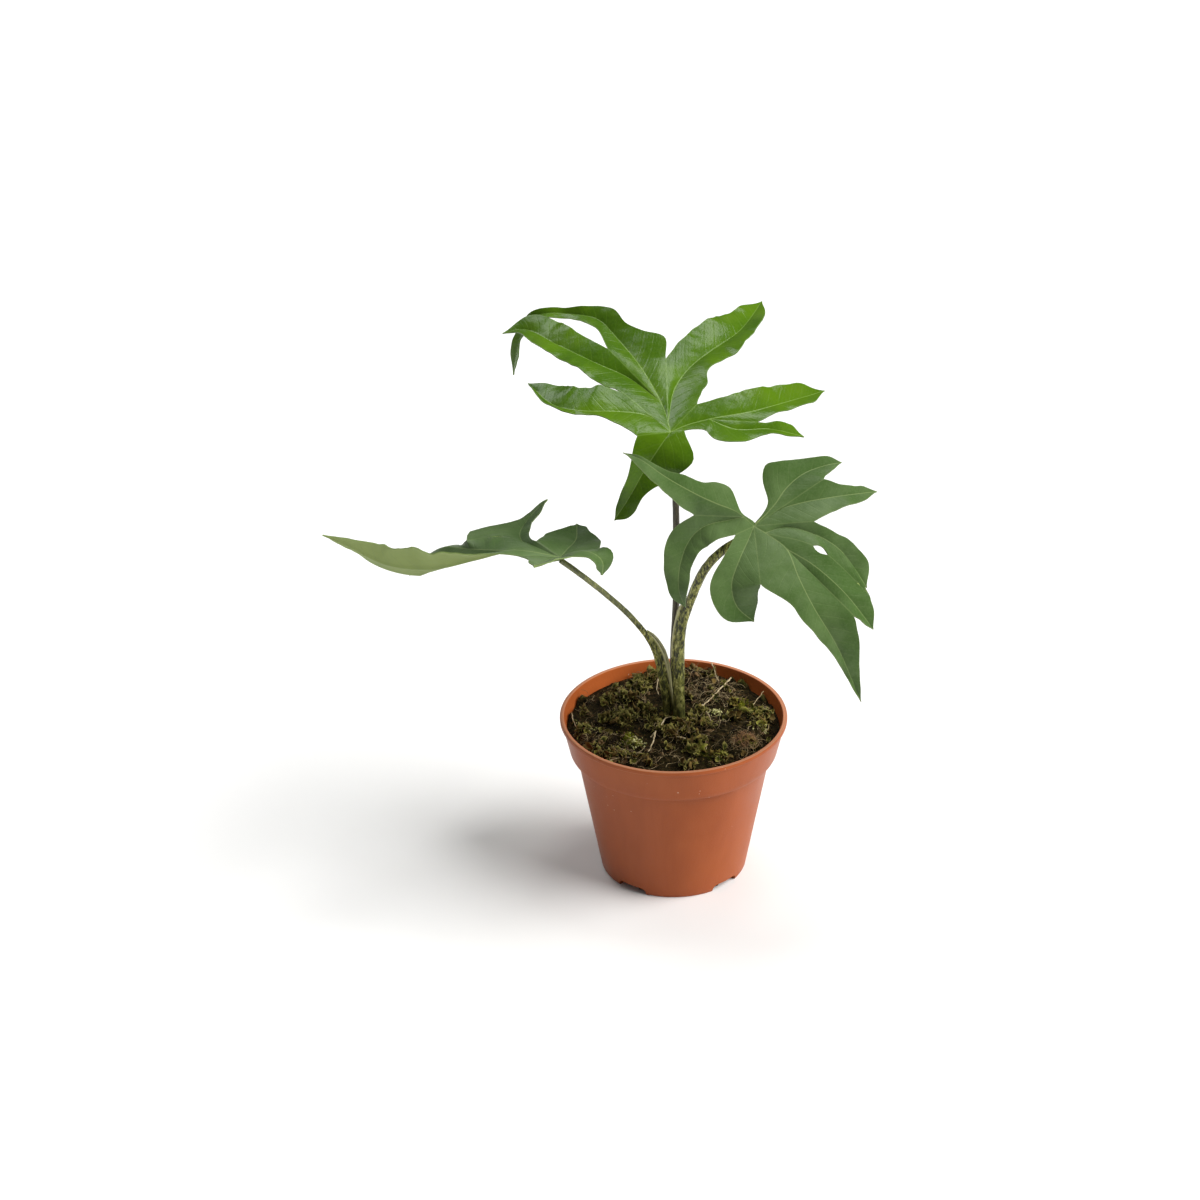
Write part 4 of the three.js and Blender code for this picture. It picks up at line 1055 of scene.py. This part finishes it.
def leaf_mesh(name, attach, facing, rib_fade, fold, lobes):
    """A leaf from its lobes, in counter-clockwise order seen from above. A lobe's rib starts at the
    stalk or `branch` mm along another's; its edges run from the sinus on each side to its tip.
    Each lobe is folded along its rib by the slope `fold`."""
    points, facings, distances = [Vector(attach)], [Vector(facing).normalized()], [0.0]
    paths = {}

    def trace(key):
        if key in paths:
            return paths[key]
        lobe = lobes[key]
        path = [0]
        if "from" in lobe:
            path = trace(lobe["from"])[:1 + FINE_ROWS * round(lobe["branch"] / ROW_MM)]
        path = list(path)
        start = path[-1]
        line = smooth_line([points[start], *lobe["rib"]])
        length, _ = spaced(line, 1)
        rows = FINE_ROWS * max(2, round(length / ROW_MM))
        _, stations = spaced(line, rows)
        own = [facings[start]] + [Vector(f).normalized() for f in lobe["facing"]]
        for row in range(1, rows + 1):
            path.append(len(points))
            points.append(stations[row])
            facings.append(between(own, row / rows).normalized())
            distances.append(distances[start] + length * row / rows)
        paths[key] = path
        return path

    names = list(lobes)
    for key in names:
        trace(key)
    rib_count = len(points)

    def axes(path, row):
        along = points[path[min(len(path) - 1, row + FINE_ROWS)]] - points[path[max(0, row - FINE_ROWS)]]
        along.normalize()
        up = flat_part(facings[path[row]], along)
        return along, up, up.cross(along)

    webs = []
    for i, key in enumerate(names):
        lobe, path, other = lobes[key], paths[key], paths[names[(i + 1) % len(names)]]
        shared = 0
        while path[shared + 1] == other[shared + 1]:
            shared += 1
        start, sinus = points[path[shared]], Vector(lobe["sinus"])
        room = (min(len(path), len(other)) - 1 - shared) // FINE_ROWS - 2
        rows = FINE_ROWS * min(max(round((sinus - start).length / ROW_MM), 1), room)
        stations = [start, Vector(lobe["through"]), sinus] if "through" in lobe else [start, sinus]
        _, line = spaced(smooth_line(stations), rows)
        up = facings[path[shared]]
        sideways = up.cross(sinus - start).normalized()
        outer = {"left": [path[shared]], "right": [path[shared]]}
        for row in range(1, rows + 1):
            spacing = min((line[row] - points[rib[shared + row]]).length for rib in (path, other))
            point = line[row] + up * (BLADE_ARCH * spacing * min(1.0, (rows - row) / FINE_ROWS))
            half = 0.0
            if "gap" in lobe:
                low, high, width = lobe["gap"]
                t = row / rows
                if low < t < high:
                    half = width / 2 * math.sin(math.pi * (t - low) / (high - low)) ** 0.7
            outer["left"].append(len(points))
            points.append(point - sideways * half)
            if half:
                points.append(point + sideways * half)
            outer["right"].append(len(points) - 1)
        webs.append((shared, rows, outer))

    faces, corners, sides = [], [], []
    depth_below = {}
    for i, key in enumerate(names):
        lobe, path = lobes[key], paths[key]
        for side, sign, web in (("left", 1, webs[i]), ("right", -1, webs[i - 1])):
            shared, web_rows, web_outer = web
            last = len(path) - 1 - shared
            inner, outer = path[shared:], list(web_outer[side])
            along, up, left = axes(path, shared + web_rows)
            reach = points[outer[web_rows]] - points[inner[web_rows]]
            reach_along, reach_up = reach.dot(along), reach.dot(up)
            widths = [sign * reach.dot(left), *lobe[side], 0]
            for row in range(web_rows + 1, last):
                t = (row - web_rows) / (last - web_rows)
                fade = (1 - t) ** 3
                along, up, left = axes(path, shared + row)
                rib = points[inner[row]]
                width = catmull(widths, t)
                swing = 4 * t * (1 - t)
                wave = WAVE_MM * math.sin(row / FINE_ROWS * WAVE_PER_ROW + i) * swing
                ripple = noise.noise(rib * 0.16 + Vector((i * 7.1, sign * 3.3, 0)))
                width *= 1 + WIDTH_RIPPLE * ripple * min(1.0, swing * 2)
                ripple = noise.noise(rib * 0.23 + Vector((sign * 5.7, i * 2.9, 4)))
                lift = (EDGE_LIFT + fold / 3) * width + wave + EDGE_RIPPLE_MM * ripple * swing
                height = reach_up * fade + (1 - fade) * lift
                outer.append(len(points))
                points.append(rib + left * (sign * width) + along * (reach_along * fade) + up * height)
            outer.append(inner[last])
            sides.append((sign, shared, last, path, inner, outer))
    spans = {}
    for _, _, last, _, inner, outer in sides:
        for row in range(last + 1):
            span = (points[outer[row]] - points[inner[row]]).length
            spans[inner[row]] = min(span, spans.get(inner[row], span))
    for path in paths.values():
        smooth = []
        for r in range(len(path)):
            nearby = range(r - SMOOTHED_ROWS, r + SMOOTHED_ROWS + 1)
            kept = [path[min(max(row, 0), len(path) - 1)] for row in nearby]
            smooth.append(sum(spans.get(index, 0.0) for index in kept) / len(kept))
        for index, span in zip(path, smooth):
            spans[index] = min(spans.get(index, span), span)
    for index, span in spans.items():
        sunk = fold * 2 / 3 * span * min(1.0, distances[index] / FOLD_FROM)
        points[index] -= facings[index] * sunk
    for sign, shared, last, path, inner, outer in sides:
        columns = []
        for row in range(last + 1):
            rib, rim = points[inner[row]], points[outer[row]]
            span = (rim - rib).length
            along, up, _ = axes(path, shared + row)
            rib_mm = distances[inner[row]]
            strength = max(FAINTEST_RIB, 1 - rib_mm / rib_fade)
            half_width = 0.16 + 0.34 * strength

            def corner(point, dist):
                reach_mm = rib_mm + (point - rib).dot(along)
                phase = (reach_mm - VEIN_LEAN * dist - VEIN_CURVE * dist * dist) / VEIN_SPACING
                return phase, dist, span - dist, half_width

            if span < 1e-6:
                columns.append([(inner[row], corner(rib, 0.0))] * (COLUMNS + 3))
                continue
            near = min(0.3, RIB_HALF_WIDTH / span)
            shares = [0, near / 2, near] + [near + (1 - near) * c / COLUMNS for c in range(1, COLUMNS + 1)]
            line = [(inner[row], corner(rib, 0.0))]
            for u in shares[1:-1]:
                dist = u * span
                base = rib.lerp(rim, u)
                data = corner(base, dist)
                swell = SWELL * (0.5 - 0.5 * math.cos(math.tau * data[0]))
                swell *= min(1.0, max(0.0, (dist - 0.5) / 4)) * min(1.0, (span - dist) / 3)
                rib_round = math.sqrt(max(0.0, 1 - (u / near) ** 2))
                depth_below[len(points)] = RIB_DEPTH * strength * rib_round if u < near else 0.0
                line.append((len(points), data))
                points.append(base + up * (4 * u * (1 - u) * BLADE_ARCH * span + swell))
            line.append((outer[row], corner(rim, span)))
            columns.append(line)
        for row in range(last):
            for c in range(COLUMNS + 2):
                quad = [columns[row][c], columns[row + 1][c], columns[row + 1][c + 1], columns[row][c + 1]]
                if sign < 0:
                    quad.reverse()
                kept = [q for n, q in enumerate(quad) if q[0] != quad[n - 1][0]]
                if len(kept) > 2:
                    faces.append([q[0] for q in kept])
                    corners.append([q[1] for q in kept])
    for index in range(rib_count):
        depth_below[index] = RIB_DEPTH * max(FAINTEST_RIB, 1 - distances[index] / rib_fade)

    normals = [Vector() for _ in points]
    borders = {}
    for face, data in zip(faces, corners):
        normal = Vector()
        for n in range(len(face)):
            normal += (points[face[n - 1]] - points[face[0]]).cross(points[face[n]] - points[face[0]])
        for n, index in enumerate(face):
            normals[index] += normal
            before = face[n - 1]
            if (index, before) in borders:
                del borders[(index, before)]
            else:
                borders[(before, index)] = (data[n - 1], data[n])
    used = sorted({index for face in faces for index in face})
    order = {index: n for n, index in enumerate(used)}
    count = len(used)
    half = BLADE_THICKNESS / 2
    skin = []
    for index in used:
        skin.append(points[index] + normals[index].normalized() * half)
    for index in used:
        skin.append(points[index] - normals[index].normalized() * (half + depth_below.get(index, 0.0)))
    all_faces, all_corners, upper = [], [], []
    for face, data in zip(faces, corners):
        all_faces.append([order[index] for index in face])
        all_corners.append(data)
        upper.append(1.0)
        all_faces.append([count + order[index] for index in reversed(face)])
        all_corners.append(list(reversed(data)))
        upper.append(0.0)
    for (before, index), (data_before, data_index) in borders.items():
        a, b = order[before], order[index]
        all_faces.append([count + a, count + b, b, a])
        all_corners.append([data_before, data_index, data_index, data_before])
        upper.append(EDGE_SHADE)
    mesh = bpy.data.meshes.new(name)
    mesh.from_pydata([p * MM for p in skin], [], all_faces)
    veins = mesh.attributes.new("veins", "FLOAT_COLOR", "CORNER")
    measures = [value for face_corners in all_corners for corner in face_corners for value in corner]
    veins.data.foreach_set("color", measures)
    above = mesh.attributes.new("above", "FLOAT", "FACE")
    above.data.foreach_set("value", upper)
    return mesh


def leaf_material(name, deep, fresh, pale, under, rib, roughness, shine):
    """Green blade with paler veins, a lighter matte underside and a fine cell grain."""
    made, shader, tree, place = surface(name, roughness, shine)

    def of(how, first, second=0.0):
        return maths(tree, how, first, second)

    def off_middle(value):
        """How far a value lies from the nearest whole number."""
        return of("ABSOLUTE", of("SUBTRACT", value, of("ROUND", value)))

    veins = add(tree, "ShaderNodeAttribute", attribute_name="veins")
    parts = add(tree, "ShaderNodeSeparateXYZ", {"Vector": veins.outputs["Vector"]})
    phase, dist, margin = parts.outputs
    above = reading(tree, "above")
    side_mm = of("MULTIPLY", off_middle(phase), VEIN_SPACING * 0.8)
    side_line = stepped(tree, side_mm, 0.12, 0.5, 1, 0)
    side_line = of("MULTIPLY", side_line, stepped(tree, margin, 0.5, 5, 0, 1))
    fine_near = off_middle(of("MULTIPLY", phase, 3.0))
    fine_line = of("MULTIPLY", stepped(tree, fine_near, 0.03, 0.14, 1, 0), 0.35)
    any_line = of("MAXIMUM", side_line, fine_line)
    rib_share = of("DIVIDE", dist, veins.outputs["Alpha"])
    rib_line = stepped(tree, rib_share, 0.4, 0.95, 1, 0)
    edge_line = stepped(tree, margin, 0.15, 0.5, 1, 0)
    broad = stepped(tree, grain(tree, place, 28, 4, 0.55), 0.36, 0.64)
    cells = grain(tree, place, 900, 3, 0.6)
    color = mixed(tree, broad, deep, fresh)
    color = mixed(tree, stepped(tree, grain(tree, place, 70, 3, 0.5), 0.5, 0.72, 0, 0.35), color, pale)
    color = mixed(tree, stepped(tree, cells, 0.35, 0.7, 0, 0.22), color, pale)
    color = mixed(tree, of("MULTIPLY", any_line, 0.06), color, rib)
    color = mixed(tree, of("MULTIPLY", edge_line, 0.25), color, rib)
    lower = mixed(tree, broad, under, mixed(tree, 0.35, under, pale))
    lower = mixed(tree, of("MULTIPLY", any_line, 0.25), lower, rib)
    color = mixed(tree, above, lower, color)
    color = mixed(tree, of("MULTIPLY", rib_line, 0.6), color, rib)
    matte = min(roughness + 0.2, 0.9)
    tree.links.new(stepped(tree, above, 0, 1, matte, roughness), shader.inputs["Roughness"])
    height = of("SUBTRACT", of("MULTIPLY", cells, 0.35), of("MULTIPLY", side_line, 0.2))
    height = of("SUBTRACT", height, of("MULTIPLY", fine_line, 0.3))
    height = of("ADD", height, of("MULTIPLY", grain(tree, place, 85, 2, 0.5), 5))
    coat(tree, shader, color, height, depth_mm=0.16)
    return made


glossy_leaf = leaf_material(
    "leaf_glossy", deep=(0.04, 0.102, 0.001), fresh=(0.068, 0.148, 0.0015), pale=(0.09, 0.168, 0.008),
    under=(0.11, 0.19, 0.045), rib=(0.2, 0.31, 0.07), roughness=0.25, shine=0.25)
top_lobes = {
    "front right": {
        "from": "tip", "branch": 7,
        "rib": [(0.5, 39.5, 260.5), (8, 53, 266.5), (19.5, 65, 271), (34, 81, 274.5), (47, 112, 277.5)],
        "facing": [(-0.1, -0.4, 0.9), (0, -0.3, 0.95)],
        "left": [15.2, 16, 14.6, 11.4, 6.8], "right": [14.6, 15.2, 10.5, 10, 12.5, 9, 7.7, 7.4, 5],
        "sinus": (-4, 57.5, 269.5),
    },
    "tip": {
        "rib": [
            (-5, 27.5, 255.5), (-16.5, 51.5, 267), (-29, 71.5, 274.2), (-40, 86, 279), (-57, 94, 278.5),
            (-72, 98, 275.5), (-80.5, 99, 264), (-83.5, 99, 252), (-85, 99, 240.5),
        ],
        "facing": [
            (0, -0.36, 0.93), (-0.2, -0.4, 0.9), (-0.45, -0.5, 0.75), (-0.9, -0.5, 0.4),
            (-0.95, -0.5, 0.1),
        ],
        "left": [6.5, 5.2, 5, 4.2, 3, 3, 3, 3, 3.5, 4, 3],
        "right": [20, 12.8, 8.6, 9, 5.5, 3.4, 3.2, 3, 3.5, 4.5, 3.5],
        "sinus": (-34, 63, 272.5),
    },
    "back left": {
        "from": "tip", "branch": 21,
        "rib": [
            (-23, 47, 263.5), (-38.5, 55.5, 267.5), (-59.5, 70, 271.5),
            (-78, 88.5, 272), (-90, 92, 268),
        ],
        "facing": [(0, -0.36, 0.93), (-0.2, -0.3, 0.9)],
        "left": [13.4, 10.6, 9, 7.8, 5.4], "right": [10.3, 11.2, 11.2, 8.1],
        "sinus": (-26.5, 35, 261),
    },
    "left": {
        "rib": [
            (-12.5, 21, 254), (-27.5, 22.5, 256.5), (-45.5, 22.5, 256.5),
            (-61, 30, 256), (-75.5, 50, 259),
        ],
        "facing": [(0, -0.36, 0.93), (-0.1, -0.3, 0.95)],
        "left": [10.5, 3.4, 2.8, 2.4, 1.6], "right": [16.7, 15.2, 14, 12.4, 7.5],
        "sinus": (-18.5, 7, 250),
    },
    "near left": {
        "rib": [(-7.5, 6, 243.5), (-15, 3.5, 232), (-21.5, 2, 219.5), (-30.5, 1, 204.5)],
        "facing": [(0.1, -0.75, 0.6), (0, -0.85, 0.45)],
        "left": [17.4, 18.2, 15.4, 12.2, 8.7, 6, 6, 6.2, 4.8], "right": [8, 5.8, 4.8, 3],
        "sinus": (5.5, 12, 250.5),
    },
    "near right": {
        "from": "right", "branch": 21,
        "rib": [(31, 14, 250.5), (49, 16.5, 249.2), (67, 20, 243)],
        "facing": [(0.1, -0.4, 0.9)],
        "left": [3.6, 5, 5], "right": [6, 11, 11.5, 7, 3.6, 2.6],
        "sinus": (42.5, 18.5, 252),
    },
    "right": {
        "rib": [(8, 16, 252), (23.5, 19.5, 254.5), (41, 25, 255.5), (60.5, 38, 255), (78.5, 52.5, 253.5)],
        "facing": [(0.05, -0.36, 0.93), (0.2, -0.3, 0.9)],
        "left": [11.4, 12.6, 12, 10.2, 7.5], "right": [5.6, 6, 6],
        "sinus": (12, 27, 258),
    },
}
leaf_top = leaf_mesh(
    "leaf_top_blade", attach=(-1.5, 12, 249.5), facing=(0, -0.34, 0.94),
    rib_fade=110, fold=0.12, lobes=top_lobes)
finish_piece("leaf_top_blade", leaf_top, glossy_leaf, "leaf_glossy", "leaf_top", crease=50)

dull_leaf = leaf_material(
    "leaf_dull", deep=(0.046, 0.094, 0.018), fresh=(0.08, 0.134, 0.04), pale=(0.11, 0.165, 0.065),
    under=(0.25, 0.32, 0.095), rib=(0.2, 0.26, 0.1), roughness=0.47, shine=0.35)
right_lobes = {
    "far right": {
        "rib": [(52, -0.5, 215), (57.5, 6.5, 220), (66, 14.5, 224), (77.5, 21.5, 225.5), (87, 26.5, 225)],
        "facing": [(0.08, -0.61, 0.79)],
        "left": [1.5, 4, 11.2, 15.1, 12.2, 9, 6.4, 5.2, 4.2], "right": [6, 3.6],
        "sinus": (41.5, -8.5, 208),
    },
    "far left": {
        "rib": [
            (32.5, -9.5, 215), (22, -11, 220.5), (10.5, -13, 227.5),
            (-4.5, -14, 237.5), (-17.5, -13, 247), (-25.5, -12, 250),
        ],
        "facing": [(0.08, -0.61, 0.79), (0, -0.6, 0.8)],
        "left": [8.6, 7.1, 6, 3.6], "right": [0.8, 10.8, 10.6, 7.4, 6.5, 4.6, 3, 2.1, 1.4],
        "sinus": (10.5, -14, 215.5),
    },
    "left": {
        "from": "far left", "branch": 7,
        "rib": [
            (28.5, -10.5, 211), (15.5, -14, 209), (8, -17, 202.5),
            (3, -23.5, 190), (3, -29.5, 179.5), (6.3, -31.5, 171.4),
        ],
        "facing": [(0, -0.7, 0.7), (-0.4, -0.8, 0.4)],
        "left": [9.5, 9.3, 7, 6.1, 5.2], "right": [9.4, 9.4, 8.2, 6, 4.5],
        "sinus": (31.5, -16.5, 205.5),
    },
    "near left": {
        "rib": [(38.5, -15.5, 203), (33.5, -25.5, 196), (29.5, -34, 186), (32, -38, 176), (41, -38.5, 167)],
        "facing": [(0.05, -0.7, 0.7), (0, -0.85, 0.5)],
        "left": [13, 12, 8], "right": [8, 11, 9],
        "sinus": (44, -38, 188.5),
    },
    "tip": {
        "rib": [
            (51, -16, 203), (57.5, -21, 199.5), (63.5, -34, 190),
            (71, -44.5, 178.5), (82.5, -51, 160.5), (95.5, -58, 131),
        ],
        "facing": [(0.08, -0.65, 0.75), (0.1, -0.85, 0.5)],
        "left": [12.6, 10.2, 7.2, 4.6, 2.4], "right": [14, 9.7, 9.2, 7.2, 6, 4.2, 3, 2, 1.2],
        "sinus": (91, -45, 174.5),
    },
    "near right": {
        "from": "tip", "branch": 21,
        "rib": [(71, -27.5, 194), (86.5, -36.5, 183), (101.5, -43, 165)],
        "facing": [(0.2, -0.6, 0.7)],
        "left": [9.4, 8, 6], "right": [3.4, 2.4],
        "sinus": (99.5, -31, 178.5), "through": (73, -20.5, 200), "gap": (0.4, 0.53, 3.6),
    },
    "side right": {
        "from": "tip", "branch": 7,
        "rib": [(56.5, -10, 206.5), (71.5, -13, 204), (85, -18.5, 197.5), (98.5, -28, 181)],
        "facing": [(0.3, -0.6, 0.7)],
        "left": [5.5, 6.9, 7.4, 7.5], "right": [4],
        "sinus": (71.5, -9.5, 209.5),
    },
    "right": {
        "rib": [(50, -3.5, 211.5), (64, 0.5, 214.5), (82, 5, 216), (105, 16, 213.5)],
        "facing": [(0.08, -0.61, 0.79), (0.2, -0.5, 0.8)],
        "left": [6.2, 5, 4], "right": [10, 8, 6.1, 4],
        "sinus": (77, 10.5, 223.5),
    },
}
leaf_right = leaf_mesh(
    "leaf_right_blade", attach=(41, -10, 207), facing=(0.08, -0.61, 0.79),
    rib_fade=110, fold=0.03, lobes=right_lobes)
finish_piece("leaf_right_blade", leaf_right, dull_leaf, "leaf_dull", "leaf_right", crease=50)

left_lobes = {
    "tip": {
        "rib": [
            (-73.5, -15, 195), (-85, -14, 195), (-101.5, -12, 189.5), (-124, -10, 183),
            (-148, -9, 185), (-168, -9, 196), (-179.5, -9, 201.5),
        ],
        "facing": [(0, 0.6, 0.8), (0, 0.78, 0.62), (0, 0.75, 0.66)],
        "left": [12, 19, 20.5, 15.8, 8.8], "right": [20, 14.5, 6.6, 3.2, 2],
        "sinus": (-78.5, -20, 195),
    },
    "near": {
        "rib": [(-63, -22, 194), (-67, -36, 199.5), (-70, -48, 204.5)],
        "facing": [(0, 0.33, 0.94)],
        "left": [8.5, 6.8], "right": [6.5, 4.5],
        "sinus": (-51.5, -26, 198),
    },
    "near right": {
        "rib": [(-50.5, -17, 196), (-42, -19, 196.5), (-36.5, -21, 192.5), (-36.5, -23, 185.5)],
        "facing": [(0.1, 0.1, 1), (0.5, -0.5, 0.7), (0.7, -0.6, 0.4)],
        "left": [9.6, 7.4, 4.6], "right": [6, 5.4, 4.6],
        "sinus": (-38, -8, 193),
    },
    "far right": {
        "rib": [(-54.5, -4, 190.5), (-50.5, 12, 188), (-50.5, 30, 187.5)],
        "facing": [(0, 0.2, 0.98)],
        "left": [16.5, 15.5, 9.5, 3.6], "right": [14.5, 11, 6.5, 4],
        "sinus": (-70.5, 0, 193),
    },
    "far": {
        "rib": [(-74, 0, 189.5), (-80, 22, 185.5), (-75.5, 42, 185), (-66.5, 58, 187.5)],
        "facing": [(0, 0.1, 1), (-0.2, 0, 1)],
        "left": [22.5, 13.5, 6, 3.6, 2.8, 2.2, 1.8, 1.5, 1.2], "right": [4, 5, 4.6, 3.6],
        "sinus": (-107, 9.5, 188.5), "through": (-86, 10, 189.5), "gap": (0.68, 0.8, 4.5),
    },
    "far left": {
        "from": "tip", "branch": 28,
        "rib": [(-108, 8, 184.5), (-120, 20, 179), (-132, 32, 165), (-139.5, 38, 152.5)],
        "facing": [(0, 0.75, 0.65), (-0.3, 0.8, 0.5)],
        "left": [7, 5], "right": [9, 8.5],
        "sinus": (-132, 13, 166),
    },
}
leaf_left = leaf_mesh(
    "leaf_left_blade", attach=(-58, -15, 191.5), facing=(0, 0.38, 0.92),
    rib_fade=120, fold=0.03, lobes=left_lobes)
finish_piece("leaf_left_blade", leaf_left, dull_leaf, "leaf_dull", "leaf_left", crease=50)
